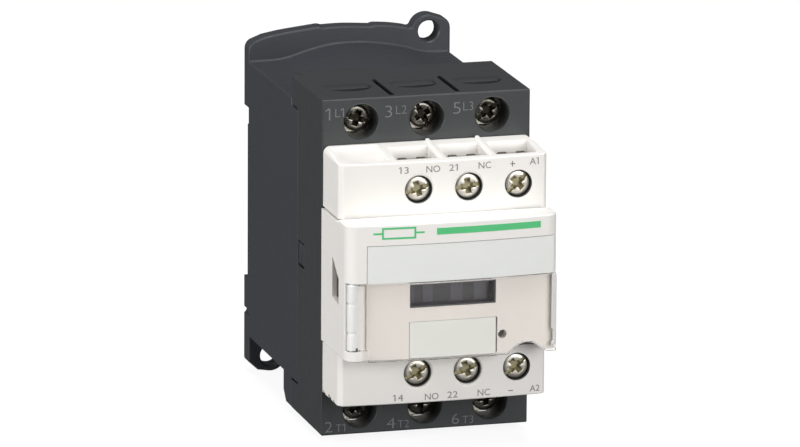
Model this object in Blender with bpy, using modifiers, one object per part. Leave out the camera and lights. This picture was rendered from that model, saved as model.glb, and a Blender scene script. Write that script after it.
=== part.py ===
"""Three-pole DIN rail contactor, 45 mm wide, modelled as the pieces it is assembled from.

The contactor is described by x (to the right), z (up) and depth, which is measured forward from
the mounting plane, so a depth of 10 mm lies at y = -10 mm. The origin is on the mounting plane,
at the middle of the contact block's width and height. All named sizes are in millimetres.
"""
import math

import bmesh
import bpy
from mathutils import Matrix

MM = 0.001
GAP = 0.3                     # clearance kept between two fitted pieces
OVER = 6.0                    # how far a cutter runs past the wall it opens

# Overall sizes
WIDTH = 45.0
BLOCK_HEIGHT = 72.1
BLOCK_FACE = 64.2             # depth of the dark front
LABEL_FACE = 77.2             # depth of the terminal housing's face at its side edges
COVER_FACE = 84.5             # depth of the raised cover's face at its side edges
COVER_BULGE = 1.3             # how much further forward the cover's face is at the middle
LABEL_BULGE = 0.9

# Mounting base
PLATE = 4.1
EAR_HOLE_R = 2.3
EAR_RISE, EAR_DROP = 39.7, 37.5
EAR_HOLE_UP = (17.6, 36.0)
EAR_HOLE_LOW = (-17.5, -34.0)
RAIL_TOP, RAIL_BOTTOM = 21.3, -16.6
RAIL_RECESS = 3.3
BASE_BOTTOM = -29.6
SHOULDER, CROWN = 31.3, 34.3
BASE_WALL = 1.6
REAR_WALL = 1.9
BASE_FACE = 44.5              # where the base meets the contact block
CORNER_FACE = 39.3            # the same seam, above and below the magnet chamber
FOOT_BACK = 33.2
CLIP_HALF, CLIP_T, CLIP_TRAVEL = 6.0, 2.5, 3.0

# Poles and power terminals
POLE_PITCH, POLE_MIDDLE = 14.2, 0.1
CHAMBER_HALF, CHAMBER_HEIGHT = 6.4, 13.0
POWER_Z = 31.0
WELL_R = 3.65
BAR_DEPTH, BAR_T, BAR_HALF = 50.4, 1.5, 3.9
TIP_T, TIP_R, TIP_Z = 0.8, 2.0, 9.0
CONTACT_GAP = 3.0
BRIDGE_T, BRIDGE_HALF = 1.2, 2.9
POWER_SHANK_R, POWER_HEAD_R, POWER_HEAD_T = 1.75, 3.1, 2.4
CLAMP_T, WIRE_SPACE, CLAMP_TRAVEL = 1.4, 4.6, 3.0

# Auxiliary and coil terminals
AUX_X = (-5.4, 5.4, 16.1)
AUX_Z = (19.1, -20.1)
AUX_WELL_R = 3.5
AUX_HEAD_R, AUX_HEAD_T, AUX_SHANK_R = 3.0, 1.8, 1.5
AUX_BAR, AUX_BAR_T = 69.2, 1.0
WHITE_HALF_HEIGHT = 26.4
POCKET_HALF = 4.4
AUX_TIP_T, AUX_TIP_R, AUX_TIP_Z = 0.6, 1.2, 6.4
COIL_STRIP_X, COIL_STRIP_T = 20.05, 0.6

# Raised cover
COVER_TOP, COVER_BOTTOM = 13.9, -15.1
COVER_WALL = 1.4
COVER_PROUD = 0.3             # the cover stands this far out from the housing's sides
FLAP_TOP, FLAP_T, FLAP_SETBACK = 1.3, 1.0, 1.5
HINGE_X, HINGE_SETBACK, HINGE_R, PIVOT_R = -21.2, 1.0, 1.1, 0.6
FOOT_TOP = -12.9
WINDOW_X, WINDOW_Z = (-9.1, 9.4), (-4.3, 0.7)
MARKER_X, MARKER_Z = (-18.4, 21.8), (1.9, 9.4)

# Magnet
STACK = 13.0                  # thickness of both lamination stacks
CORE_HALF, LEG, CENTRE_LEG = 18.2, 5.0, 11.0
CORE_BACK, YOKE, POLE_FACE = 7.3, 7.0, 26.0
MAGNET_GAP, TRAVEL = 5.5, 5.4
ARMATURE_LEG, ARMATURE_YOKE = 4.5, 6.0
BOBBIN_X, BOBBIN_Z, FLANGE = 12.8, 18.5, 1.2
BOBBIN_FRONT = 30.5
KEY_R, KEY_REACH = 1.3, 1.8        # the key's radius, and how far it stands out of the stack
SPRING_R = 2.4                    # outer radius of the return and bridge springs
CARRIER_BACK, CARRIER_BAR, CARRIER_PLATE = 44.8, 5.2, 3.0

HALF = WIDTH / 2
TOP = BLOCK_HEIGHT / 2
COVER_HALF = HALF + COVER_PROUD
HINGE_DEPTH = COVER_FACE - HINGE_SETBACK
WHITE_HALF = HALF - 0.1
BLOCK_BACK = BASE_FACE + GAP
FLOOR = RAIL_RECESS + REAR_WALL
BAR_FACE = BAR_DEPTH + BAR_T
BRIDGE_BACK = BAR_FACE + TIP_T + CONTACT_GAP + TIP_T
BRIDGE_FRONT = BRIDGE_BACK + BRIDGE_T
CLAMP_BACK = BAR_FACE + WIRE_SPACE
HEAD_BACK = CLAMP_BACK + CLAMP_T + GAP
CARRIER_FRONT = BLOCK_FACE + 1.7
PLATE_BACK = CARRIER_FRONT - CARRIER_PLATE
AUX_FACE = AUX_BAR + AUX_BAR_T
AUX_HEAD_BACK = LABEL_FACE - AUX_HEAD_T
NO_BACK = AUX_FACE + AUX_TIP_T + CONTACT_GAP + 0.5
NC_FRONT = AUX_BAR - AUX_TIP_T - GAP - 0.5
AUX_BRIDGE_T = 0.7
INDICATOR = COVER_FACE - FLAP_SETBACK - COVER_WALL - 0.4
ARMATURE_BACK = POLE_FACE + MAGNET_GAP
KEY_DEPTH = ARMATURE_BACK + ARMATURE_LEG + ARMATURE_YOKE / 2 + 0.5
SPRING_Z = STACK / 2 + KEY_REACH + SPRING_R + 1.0

# How an outline drawn in two coordinates is laid into the frame, for each direction it is pulled
LAY = {
    "Y": Matrix(((1, 0, 0), (0, 0, -1), (0, 1, 0))),      # (x, z) pulled along the depth
    "X": Matrix(((0, 0, -1), (-1, 0, 0), (0, 1, 0))),     # (depth, z) pulled along the width
    "Z": Matrix(((1, 0, 0), (0, -1, 0), (0, 0, -1))),     # (x, depth) pulled along the height
}


def clear_scene():
    """Start from an empty scene with a collection for the parts and one for the cutters."""
    for obj in list(bpy.data.objects):
        bpy.data.objects.remove(obj)
    for name in ("din_rail_contactor", "cutters"):
        bpy.context.scene.collection.children.link(bpy.data.collections.new(name))


def material(name, colour, roughness, metallic=0.0):
    """A plain Principled material, made once for each name."""
    mat = bpy.data.materials.get(name) or bpy.data.materials.new(name)
    mat.use_nodes = True
    shader = mat.node_tree.nodes["Principled BSDF"]
    shader.inputs["Base Color"].default_value = (*colour, 1.0)
    shader.inputs["Roughness"].default_value = roughness
    shader.inputs["Metallic"].default_value = metallic
    return mat


FINISHES = {
    "base_polyamide": ((0.045, 0.045, 0.055), 0.55),
    "charcoal_polyamide": ((0.040, 0.045, 0.052), 0.50),
    "white_polycarbonate": ((0.80, 0.78, 0.75), 0.45),
    "label_card": ((0.85, 0.85, 0.83), 0.50),
    "clear_polycarbonate": ((0.82, 0.80, 0.80), 0.15),
    "carrier_polyamide": ((0.030, 0.030, 0.034), 0.50),
    "spring_steel": ((0.55, 0.55, 0.56), 0.30, 1.0),
    "plated_steel": ((0.60, 0.58, 0.50), 0.30, 1.0),
    "tinned_copper": ((0.72, 0.52, 0.38), 0.30, 1.0),
    "silicon_steel": ((0.35, 0.35, 0.36), 0.40, 1.0),
    "shading_copper": ((0.80, 0.42, 0.25), 0.30, 1.0),
    "bobbin_nylon": ((0.60, 0.58, 0.52), 0.50),
    "enamelled_copper": ((0.62, 0.24, 0.10), 0.30, 1.0),
    "cushion_rubber": ((0.03, 0.03, 0.03), 0.85),
}


def link(obj, finish=None):
    """Put an object among the parts with its finish, or among the cutters without one."""
    if finish:
        bpy.data.collections["din_rail_contactor"].objects.link(obj)
        obj.data.materials.append(material(finish, *FINISHES[finish]))
    else:
        bpy.data.collections["cutters"].objects.link(obj)
        obj.hide_render = True
        obj.display_type = "WIRE"
    return obj


def box(name, x, depth, z, finish=None, bevel=0.0):
    """A block between two x values, two depths and two heights."""
    bm = bmesh.new()
    bmesh.ops.create_cube(bm, size=1.0)
    size = [abs(b - a) * MM for a, b in (x, depth, z)]
    bmesh.ops.scale(bm, vec=size, verts=bm.verts)
    mesh = bpy.data.meshes.new(name)
    bm.to_mesh(mesh)
    bm.free()
    obj = link(bpy.data.objects.new(name, mesh), finish)
    obj.location = (sum(x) / 2 * MM, -sum(depth) / 2 * MM, sum(z) / 2 * MM)
    if bevel:
        soften(obj, bevel)
    return obj


def soften(obj, width, segments=2):
    """Round the sharp edges of an object."""
    mod = obj.modifiers.new("soften", "BEVEL")
    mod.width = width * MM
    mod.segments = segments
    mod.limit_method = "ANGLE"
    mod.angle_limit = math.radians(50)
    return obj


def rod(name, centre, depth, radius, finish=None, sides=20, along="Y"):
    """A round bar; centre is (x, z) along Y, or (x, depth) with depth as the z span along Z."""
    bm = bmesh.new()
    length = abs(depth[1] - depth[0]) * MM
    bmesh.ops.create_cone(bm, cap_ends=True, segments=sides, radius1=radius * MM,
                          radius2=radius * MM, depth=length)
    mesh = bpy.data.meshes.new(name)
    bm.to_mesh(mesh)
    bm.free()
    obj = link(bpy.data.objects.new(name, mesh), finish)
    middle = sum(depth) / 2 * MM
    if along == "Y":
        obj.location = (centre[0] * MM, -middle, centre[1] * MM)
        obj.rotation_euler = (math.pi / 2, 0, 0)
    else:
        obj.location = (centre[0] * MM, -centre[1] * MM, middle)
    return obj


def curve_object(name, loops, bevel=0.0):
    """Closed outlines, or one open wire if a bevel radius is given."""
    curve = bpy.data.curves.new(name, "CURVE")
    curve.dimensions = "3D" if bevel else "2D"
    for points in loops:
        spline = curve.splines.new("POLY")
        spline.points.add(len(points) - 1)
        for point, place in zip(spline.points, points):
            point.co = (*[c * MM for c in place], *([0.0] * (3 - len(place))), 1.0)
        spline.use_cyclic_u = not bevel
    if bevel:
        curve.bevel_depth = bevel * MM
        curve.bevel_resolution = 2
        curve.use_fill_caps = True
    return bpy.data.objects.new(name, curve)


def slab(name, loops, along, low, high, finish=None):
    """A flat outline, with any holes as further loops, pulled from low to high along one axis."""
    shape = curve_object(name + "_outline", loops)
    shape.data.fill_mode = "BOTH"
    shape.data.extrude = abs(high - low) / 2 * MM
    bpy.context.scene.collection.objects.link(shape)
    middle = (low + high) / 2 * MM
    place = {"Y": (0, -middle, 0), "X": (middle, 0, 0), "Z": (0, 0, middle)}[along]
    shape.matrix_world = Matrix.Translation(place) @ LAY[along].to_4x4()
    bpy.context.view_layer.update()
    evaluated = shape.evaluated_get(bpy.context.evaluated_depsgraph_get())
    mesh = bpy.data.meshes.new_from_object(evaluated)
    mesh.name = name
    bm = bmesh.new()
    bm.from_mesh(mesh)
    bmesh.ops.remove_doubles(bm, verts=bm.verts, dist=1e-6)
    bmesh.ops.recalc_face_normals(bm, faces=bm.faces)
    bm.to_mesh(mesh)
    bm.free()
    obj = link(bpy.data.objects.new(name, mesh), finish)
    obj.matrix_world = shape.matrix_world.copy()
    bpy.data.objects.remove(shape)
    return obj


def turned(name, profile, centre, finish, sides=12):
    """A piece turned about an axis that runs along the depth; profile is (radius, depth)."""
    mesh = bpy.data.meshes.new(name)
    places = [(r * MM, 0.0, d * MM) for r, d in profile]
    mesh.from_pydata(places, [(i, i + 1) for i in range(len(places) - 1)], [])
    obj = link(bpy.data.objects.new(name, mesh), finish)
    mod = obj.modifiers.new("turn", "SCREW")
    mod.steps = mod.render_steps = sides
    mod.use_merge_vertices = True
    mod.merge_threshold = 1e-6
    obj.location = (centre[0] * MM, 0, centre[1] * MM)
    obj.rotation_euler = (math.pi / 2, 0, 0)
    return obj


def coil(name, start, length, radius, wire, turns, along="Y"):
    """A compression spring with flat-lying end turns, from its start point onward."""
    points = []
    steps = 8
    total = turns + 2
    for i in range(total * steps + 1):
        turn = i / steps
        rise = min(max(turn - 1, 0), turns) / turns
        travel = wire + (length - 2 * wire) * (0.06 * min(turn, 1) + 0.88 * rise
                                               + 0.06 * max(turn - 1 - turns, 0))
        a = 2 * math.pi * turn
        ring = (radius - wire / 2) * math.cos(a), (radius - wire / 2) * math.sin(a)
        if along == "Y":
            points.append((start[0] + ring[0], -(start[1] + travel), start[2] + ring[1]))
        else:
            points.append((start[0] + ring[0], -start[1] + ring[1], start[2] + travel))
    return link(curve_object(name, [points], wire / 2), "spring_steel")


def combine(obj, others, operation):
    """Join others to an object, or cut them from it, one after another."""
    for other in others:
        mod = obj.modifiers.new(other.name, "BOOLEAN")
        mod.operation = operation
        mod.solver = "EXACT"
        mod.object = other
    return obj


def join(obj, *others):
    return combine(obj, others, "UNION")


def cut(obj, *others):
    return combine(obj, others, "DIFFERENCE")


def circle(centre, radius, sides=12):
    """The points of a round hole in an outline."""
    step = 2 * math.pi / sides
    return [(centre[0] + radius * math.cos(step * (i + 0.5)),
             centre[1] + radius * math.sin(step * (i + 0.5))) for i in range(sides)]


def arc(centre, radius, start, stop, steps=6):
    """Points along part of a circle, from one angle to another in degrees."""
    return [(centre[0] + radius * math.cos(math.radians(start + (stop - start) * i / steps)),
             centre[1] + radius * math.sin(math.radians(start + (stop - start) * i / steps)))
            for i in range(steps + 1)]


def rectangle(x, z):
    return [(x[0], z[0]), (x[1], z[0]), (x[1], z[1]), (x[0], z[1])]


def bulge(x, face, rise, half):
    """Depth of a gently convex face at one x."""
    return face + rise * (1 - (x / half) ** 2)


def front_line(x0, x1, face, rise, half, steps=8):
    """Points along a convex face from one x to another."""
    return [(x0 + (x1 - x0) * i / steps, bulge(x0 + (x1 - x0) * i / steps, face, rise, half))
            for i in range(steps + 1)]


def about(middle, half):
    return (middle - half, middle + half)


def signed(sign, low, high):
    """A span of heights above the middle, or its mirror below it."""
    return (low, high) if sign > 0 else (-high, -low)


POLES = [POLE_MIDDLE + POLE_PITCH * i for i in (-1, 0, 1)]


# Housing --------------------------------------------------------------------------------------

def mounting_base():
    """Rear housing: mounting plate with two ears, rail channel and the magnet chamber."""
    lx, lz = EAR_HOLE_LOW
    ux, uz = EAR_HOLE_UP
    ear_r = EAR_RISE - uz
    outline = [(HALF, BASE_BOTTOM), *arc((HALF - 2.5, EAR_RISE - 3.2), 2.5, 0, 60, 3),
               *arc((ux, uz), ear_r, 75, 165, 6), (12.4, 37.3), (5.6, 38.0), (5.2, 37.7), (-1, 38.1),
               (-6, 38.0), (-6.4, 38.3), (-10, 37.9), (-15, 37.3), (-18.9, 36.6),
               *arc((-HALF + 2.2, SHOULDER + 2.4), 2.2, 110, 180, 3),
               (-HALF, -EAR_DROP + 2.4), (-HALF + 3.4, -EAR_DROP),
               *arc((lx, lz), EAR_DROP + lz, 270, 350, 4), (-13.0, BASE_BOTTOM)]
    holes = [circle(EAR_HOLE_UP, EAR_HOLE_R), circle(EAR_HOLE_LOW, EAR_HOLE_R)]
    base = slab("mounting_base", [outline, *holes], "Y", 0, PLATE, "base_polyamide")
    roof = [(-HALF, BASE_BOTTOM), (HALF, BASE_BOTTOM), (HALF, SHOULDER - 0.1), (16.5, SHOULDER),
            (11.9, 32.7), (7, 33.7), (1.5, CROWN), (-4, 34.15), (-9, 33.2), (-15.3, SHOULDER + 0.1),
            (-HALF, SHOULDER)]
    shell = slab("base_shell", [roof], "Y", PLATE - 0.6, CORNER_FACE)
    throat = box("base_throat", about(0, HALF), (CORNER_FACE - 1, BASE_FACE), about(0, -BASE_BOTTOM))
    foot = slab("base_foot", [[(FOOT_BACK, BASE_BOTTOM + 1), (FOOT_BACK, -TOP + 2.4),
                               (FOOT_BACK + 2.2, -TOP), (CORNER_FACE, -TOP),
                               (CORNER_FACE, BASE_BOTTOM + 1)]], "X", -HALF, HALF)
    join(base, shell, throat, foot)
    inner = HALF - BASE_WALL
    cut(base,
        box("chamber", about(0, inner), (FLOOR, BASE_FACE + OVER),
            (BASE_BOTTOM + BASE_WALL, SHOULDER - 1.9)),
        box("foot_hollow", about(0, inner), (FOOT_BACK + BASE_WALL, BASE_FACE + OVER),
            (-TOP + 1.8, BASE_BOTTOM + 3)),
        box("rail_channel", about(0, HALF + OVER), (-OVER, RAIL_RECESS), (RAIL_BOTTOM, RAIL_TOP)),
        box("rail_lip_slot", about(0, HALF + OVER), (-OVER, RAIL_RECESS + 0.8),
            (RAIL_TOP - 3.7, RAIL_TOP)),
        box("clip_guide", about(0, CLIP_HALF + GAP), (0.95, RAIL_RECESS),
            (BASE_BOTTOM - OVER, RAIL_BOTTOM + 1)),
        box("clip_slot", about(0, CLIP_HALF - 1), (-OVER, 1.5), (BASE_BOTTOM - OVER, RAIL_BOTTOM + 1)))
    nose = box("rail_hook", about(0, 8), (0.2, 1.9), (RAIL_TOP - 2.3, RAIL_TOP + 1))
    post = box("clip_post", about(0, 1.6), (1.0, RAIL_RECESS + 0.8), (-27.4, -25.9))
    return join(base, nose, post)


def rail_clip():
    """Sliding catch that grips behind the rail's lower edge and is pulled down to let go."""
    back = RAIL_RECESS - GAP - CLIP_T + 0.75
    window = rectangle(about(0, 2.4), (-30.6, -18.9))
    clip = slab("rail_clip", [rectangle(about(0, CLIP_HALF), (-34.5, RAIL_BOTTOM - GAP)), window],
                "Y", back, RAIL_RECESS - GAP, "charcoal_polyamide")
    hook = box("clip_hook", about(0, CLIP_HALF - 1.3), (0.5, 1.95), (-18.3, RAIL_BOTTOM + 2.4))
    neck = box("clip_neck", about(0, CLIP_HALF - 1.3), (0.5, 2.6), (-34.5, -30.9))
    return join(clip, hook, neck)


def rail_clip_spring():
    return coil("rail_clip_spring", (0, 1.95, -25.6), 6.5, 1.0, 0.36, 4, along="Z")


def contact_block():
    """Dark middle housing that holds the poles and the power terminals."""
    half_low = -BASE_BOTTOM + GAP
    block = box("contact_block", about(0, HALF), (BLOCK_BACK, BLOCK_FACE), about(0, TOP),
                "charcoal_polyamide")
    join(block,
         box("block_top", about(0, HALF), (CORNER_FACE + GAP, BLOCK_BACK + 1), (half_low, TOP)),
         box("block_lip", (-HALF + 2.5, HALF), (36.0, CORNER_FACE + 2), (CROWN + GAP, TOP)),
         box("block_bottom", about(0, HALF), (CORNER_FACE + GAP, BLOCK_BACK + 1), (-TOP, -half_low)))
    cuts = [box("crossbar_way", about(POLE_MIDDLE, 19.0), (BLOCK_BACK - OVER, BAR_DEPTH),
                about(0, 5.2)),
            box("spring_seat_way", about(0, 5.2), (BLOCK_BACK - OVER, BLOCK_BACK + 2.6),
                about(0, SPRING_Z + SPRING_R + 1.1)),
            box("plate_way", about(POLE_MIDDLE, 18.8), (PLATE_BACK - TRAVEL - 0.5, BLOCK_FACE + OVER),
                about(0, 5.2)),
            box("nc_way", about(AUX_X[1], 2.7), (BLOCK_FACE - 0.8, BLOCK_FACE + OVER), about(0, 8.7))]
    for i, x in enumerate(POLES):
        cuts.append(box(f"chamber_{i}", about(x, CHAMBER_HALF), (BAR_DEPTH - GAP, BLOCK_FACE - 2.3),
                        about(0, CHAMBER_HEIGHT)))
        for sign, row in ((1, "line"), (-1, "load")):
            z = sign * POWER_Z
            wide = BAR_HALF + 0.4
            cuts += [
                box(f"bar_way_{row}_{i}", about(x, BAR_HALF - 0.6), (BAR_DEPTH - GAP, BAR_FACE + 0.8),
                    signed(sign, CHAMBER_HEIGHT - 1, POWER_Z - 3)),
                box(f"pocket_{row}_{i}", about(x, wide), (BAR_DEPTH - GAP, CLAMP_BACK + CLAMP_T + 0.2),
                    signed(sign, POWER_Z - 5, POWER_Z + 4)),
                box(f"mouth_{row}_{i}", about(x, wide), (BAR_FACE, CLAMP_BACK + 0.2),
                    signed(sign, POWER_Z + 3, TOP + OVER)),
                slab(f"funnel_{row}_{i}", [[(48.6, sign * (TOP + 1)), (BAR_FACE, sign * (TOP - 3.4)),
                                            (CLAMP_BACK, sign * (TOP - 3.4)),
                                            (CLAMP_BACK + 0.6, sign * (TOP + 1))]],
                     "X", x - 4.9, x + 4.9),
                rod(f"well_{row}_{i}", (x, z), (CLAMP_BACK, BLOCK_FACE + OVER), WELL_R, sides=18),
                rod(f"tip_hole_{row}_{i}", (x, z), (BAR_DEPTH - 6.8, BAR_DEPTH), POWER_SHANK_R + 0.4,
                    sides=8)]
    for sign in (1, -1):
        for i in (0, 1):
            middle = (POLES[i] + POLES[i + 1]) / 2
            cuts.append(box(f"pole_slot_{sign}_{i}", about(middle, 0.55), (47.1, 62.9),
                            signed(sign, TOP - 4, TOP + OVER)))
        cuts.append(box(f"coil_strip_way_{sign}", about(COIL_STRIP_X - COIL_STRIP_T / 2, 0.7),
                        (BLOCK_BACK - OVER, BLOCK_FACE + OVER), signed(sign, 17.0, 21.6)))
    return cut(block, *cuts)


def terminal_row(name, z, finish=None):
    """One white terminal row: a bar with a gently convex face."""
    face = [(-WHITE_HALF, BLOCK_FACE + GAP),
            *front_line(-WHITE_HALF, WHITE_HALF, LABEL_FACE, LABEL_BULGE, WHITE_HALF),
            (WHITE_HALF, BLOCK_FACE + GAP)]
    return slab(name, [face], "Z", z[0], z[1], finish)


def terminal_housing():
    """White housing of the auxiliary and coil terminals, open in the middle for the carrier."""
    upper, lower = COVER_TOP - 0.4, COVER_BOTTOM - GAP
    housing = terminal_row("terminal_housing", (upper, WHITE_HALF_HEIGHT), "white_polycarbonate")
    join(housing, terminal_row("lower_row", (-WHITE_HALF_HEIGHT, lower)),
         box("row_link", about(0, HALF - COVER_WALL - 0.4), (BLOCK_FACE + GAP, BLOCK_FACE + 1.8),
             (lower - 1, upper + 1)))
    cuts = [box("carrier_way", about(POLE_MIDDLE, 18.8), (BLOCK_FACE - OVER, BLOCK_FACE + OVER),
                about(0, 5.2)),
            box("nc_bridge_way", about(AUX_X[1], 2.7), (BLOCK_FACE - OVER, BLOCK_FACE + OVER),
                about(0, 8.7))]
    for sign, z in zip((1, -1), AUX_Z):
        inner = (upper if sign > 0 else -lower) + 1.4
        cuts += [slab(f"slope_{sign}", [[(BLOCK_FACE + 2, sign * WHITE_HALF_HEIGHT),
                                         (LABEL_FACE + 4, sign * (WHITE_HALF_HEIGHT - 1.7)),
                                         (LABEL_FACE + 4, sign * (WHITE_HALF_HEIGHT + 2)),
                                         (BLOCK_FACE + 2, sign * (WHITE_HALF_HEIGHT + 2))]],
                      "X", -HALF - 1, HALF + 1),
                 box(f"plain_hollow_{sign}", (-WHITE_HALF + 1.4, AUX_X[0] - POCKET_HALF - 1.2),
                     (BLOCK_FACE - OVER, LABEL_FACE - 1.4),
                     signed(sign, inner, WHITE_HALF_HEIGHT - 2.6)),
                 box(f"coil_way_{sign}", about(COIL_STRIP_X - COIL_STRIP_T / 2, 0.7),
                     (BLOCK_FACE - OVER, AUX_FACE), signed(sign, 17.0, 21.6))]
        for i, x in enumerate(AUX_X):
            cuts += [box(f"aux_pocket_{sign}_{i}", about(x, POCKET_HALF),
                         (AUX_BAR - GAP, LABEL_FACE - 1.3), signed(sign, inner, WHITE_HALF_HEIGHT + 3)),
                     slab(f"aux_funnel_{sign}_{i}",
                          [[(BLOCK_FACE + 3, sign * (WHITE_HALF_HEIGHT + 1)),
                            (AUX_BAR, sign * (WHITE_HALF_HEIGHT - 3.6)),
                            (LABEL_FACE - 1.3, sign * (WHITE_HALF_HEIGHT - 3.6)),
                            (LABEL_FACE - 0.9, sign * (WHITE_HALF_HEIGHT + 1))]],
                          "X", x - POCKET_HALF, x + POCKET_HALF),
                     rod(f"aux_well_{sign}_{i}", (x, z), (LABEL_FACE - 3, LABEL_FACE + OVER),
                         AUX_WELL_R, sides=18),
                     rod(f"aux_tip_hole_{sign}_{i}", (x, z), (BLOCK_FACE + 2, AUX_BAR),
                         AUX_SHANK_R + 0.4, sides=8)]
            if i < 2:
                cuts.append(box(f"aux_strip_way_{sign}_{i}", about(x, 3.0),
                                (AUX_BAR - GAP, AUX_FACE + GAP), signed(sign, inner - 3, inner + 1)))
    return cut(housing, *cuts)


def cover_plan(face, half, corner=2.6):
    """Plan of the raised cover with rounded vertical front edges."""
    back = BLOCK_FACE + 0.5
    left = arc((-half + corner, face - corner + 0.3), corner, 180, 100, 4)
    right = [(-x, d) for x, d in reversed(left)]
    run = front_line(-half + corner, half - corner, face, COVER_BULGE, half)
    return [(-half, back), *left, *run, *right, (half, back)]


def skin(name, x, z, outer, thickness, finish=None):
    """A thin plate that follows the cover's convex face; outer is its setback from the face."""
    face = COVER_FACE - outer
    front = front_line(x[0], x[1], face, COVER_BULGE, COVER_HALF)
    back = [(a, b - thickness) for a, b in reversed(front)]
    return slab(name, [[*front, *back]], "Z", z[0], z[1], finish)


def front_cover():
    """Raised white cover that snaps over the housing, with its window and the flap's seat."""
    cover = slab("front_cover", [cover_plan(COVER_FACE, COVER_HALF)], "Z", COVER_BOTTOM, COVER_TOP,
                 "white_polycarbonate")
    inner = HALF - COVER_WALL + 0.3
    hollow = COVER_FACE - FLAP_SETBACK - COVER_WALL
    seam = LABEL_FACE + LABEL_BULGE + GAP
    slot = [(73.9, -3.6), (73.9, 4.1), (77.9, 1.2), (77.9, -4.1)]
    cut(cover,
        box("cover_hollow", about(0, inner), (BLOCK_FACE - OVER, hollow),
            (COVER_BOTTOM + 2.4, COVER_TOP - 1.2)),
        box("seam_above", about(0, HALF + OVER), (BLOCK_FACE - OVER, seam),
            (COVER_TOP - 0.7, COVER_TOP + OVER)),
        box("row_clear_above", about(0, inner), (BLOCK_FACE - OVER, seam), (COVER_TOP - 2, COVER_TOP)),
        box("row_clear_below", about(0, inner), (BLOCK_FACE - OVER, seam),
            (COVER_BOTTOM - 1, COVER_BOTTOM + 3)),
        skin("flap_seat", (HINGE_X + HINGE_R + 0.6, HALF + 2), (COVER_BOTTOM - 2, FLAP_TOP + GAP),
             -4, 4 + FLAP_SETBACK),
        box("foot_gap", (-HALF - 2, HINGE_X + 3), (COVER_FACE - FLAP_SETBACK, COVER_FACE + 4),
            (FOOT_TOP, FLAP_TOP + GAP)),
        rod("barrel_seat", (HINGE_X, HINGE_DEPTH), (FOOT_TOP, FLAP_TOP + GAP), HINGE_R + 0.4,
            sides=20, along="Z"),
        rod("pivot_hole", (HINGE_X, HINGE_DEPTH), (FOOT_TOP - 1.4, FLAP_TOP + 1.7), PIVOT_R + 0.25,
            sides=12, along="Z"),
        skin("marker_seat", (MARKER_X[0] - 0.2, MARKER_X[1] + 0.2), (MARKER_Z[0] - 0.2, MARKER_Z[1] + 0.2),
             -2, 2.9),
        skin("rating_seat", (WINDOW_X[0] - 0.2, WINDOW_X[1] + 0.2), (COVER_BOTTOM - 1, -7.1), 0, 2.0),
        box("window", WINDOW_X, (hollow - 2, COVER_FACE + 3), WINDOW_Z),
        slab("side_slot", [slot], "X", -HALF - 2, -HALF + 3),
        slab("side_slot_right", [slot], "X", HALF - 3, HALF + 2),
        rod("screw_scoop", (16.2, -17.6), (seam, COVER_FACE + 4), 4.6, sides=18))
    return cover


def front_flap():
    """Clear flap over the window, hinged on a vertical barrel at the left."""
    bottom = COVER_BOTTOM - 0.2
    flap = skin("front_flap", (HINGE_X + 0.4, HALF), (bottom, FLAP_TOP), 0, FLAP_T,
                "clear_polycarbonate")
    cut(flap, box("foot_notch", (-HALF - 1, HINGE_X + 3.2), (COVER_FACE - 6, COVER_FACE + 4),
                  (bottom - 1, FOOT_TOP + 0.2)),
        rod("flap_scoop", (16.2, -17.6), (COVER_FACE - 4, COVER_FACE + 4), 4.7, sides=18))
    return join(flap,
                rod("flap_barrel", (HINGE_X, HINGE_DEPTH), (FOOT_TOP + 0.2, FLAP_TOP), HINGE_R,
                    along="Z"),
                rod("flap_pivot", (HINGE_X, HINGE_DEPTH), (FOOT_TOP - 1.1, FLAP_TOP + 1.4), PIVOT_R,
                    sides=12, along="Z"))


def marker_plate():
    return skin("marker_plate", MARKER_X, MARKER_Z, 0.1, 0.5, "label_card")


def rating_label():
    return skin("rating_label", WINDOW_X, (COVER_BOTTOM + 0.1, -7.3), FLAP_SETBACK - 0.1, 0.4,
                "label_card")


# Magnet ---------------------------------------------------------------------------------------

def e_outline(back, yoke, tip, centre, sign=1):
    """Plan of an E-shaped lamination stack with its legs toward the tip."""
    inner = CORE_HALF - LEG
    return [(-CORE_HALF, back), (CORE_HALF, back), (CORE_HALF, tip), (inner, tip), (inner, yoke),
            (centre, yoke), (centre, tip - 0.05 * sign), (-centre, tip - 0.05 * sign),
            (-centre, yoke), (-inner, yoke), (-inner, tip), (-CORE_HALF, tip)]


def fixed_core():
    """Fixed laminated core, its outer poles grooved for the shading rings."""
    core = slab("fixed_core", [e_outline(CORE_BACK, CORE_BACK + YOKE, POLE_FACE, CENTRE_LEG / 2)],
                "Z", -STACK / 2, STACK / 2, "silicon_steel")
    for side in (1, -1):
        x = sorted((side * (CORE_HALF - 3.1), side * (CORE_HALF - 2.0)))
        cut(core, box(f"ring_groove_{side}", x, (POLE_FACE - 1.9, POLE_FACE + 1), about(0, STACK)))
    return core


def shading_ring(name, side):
    """Closed copper ring set into one outer pole."""
    outer = sorted((side * (CORE_HALF - 2.9), side * (CORE_HALF + 1.0)))
    inner = sorted((side * (CORE_HALF - 2.2), side * (CORE_HALF + 0.2)))
    return slab(name, [rectangle(outer, about(0, STACK / 2 + 1.0)),
                       rectangle(inner, about(0, STACK / 2 + 0.2))],
                "Y", POLE_FACE - 1.7, POLE_FACE - 0.5, "shading_copper")


def core_cushion():
    """Rubber pad that takes the blow of the core."""
    return box("core_cushion", about(0, CORE_HALF - 1), (FLOOR + GAP, CORE_BACK - GAP),
               about(0, STACK / 2 - 0.5), "cushion_rubber", bevel=0.3)


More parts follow.
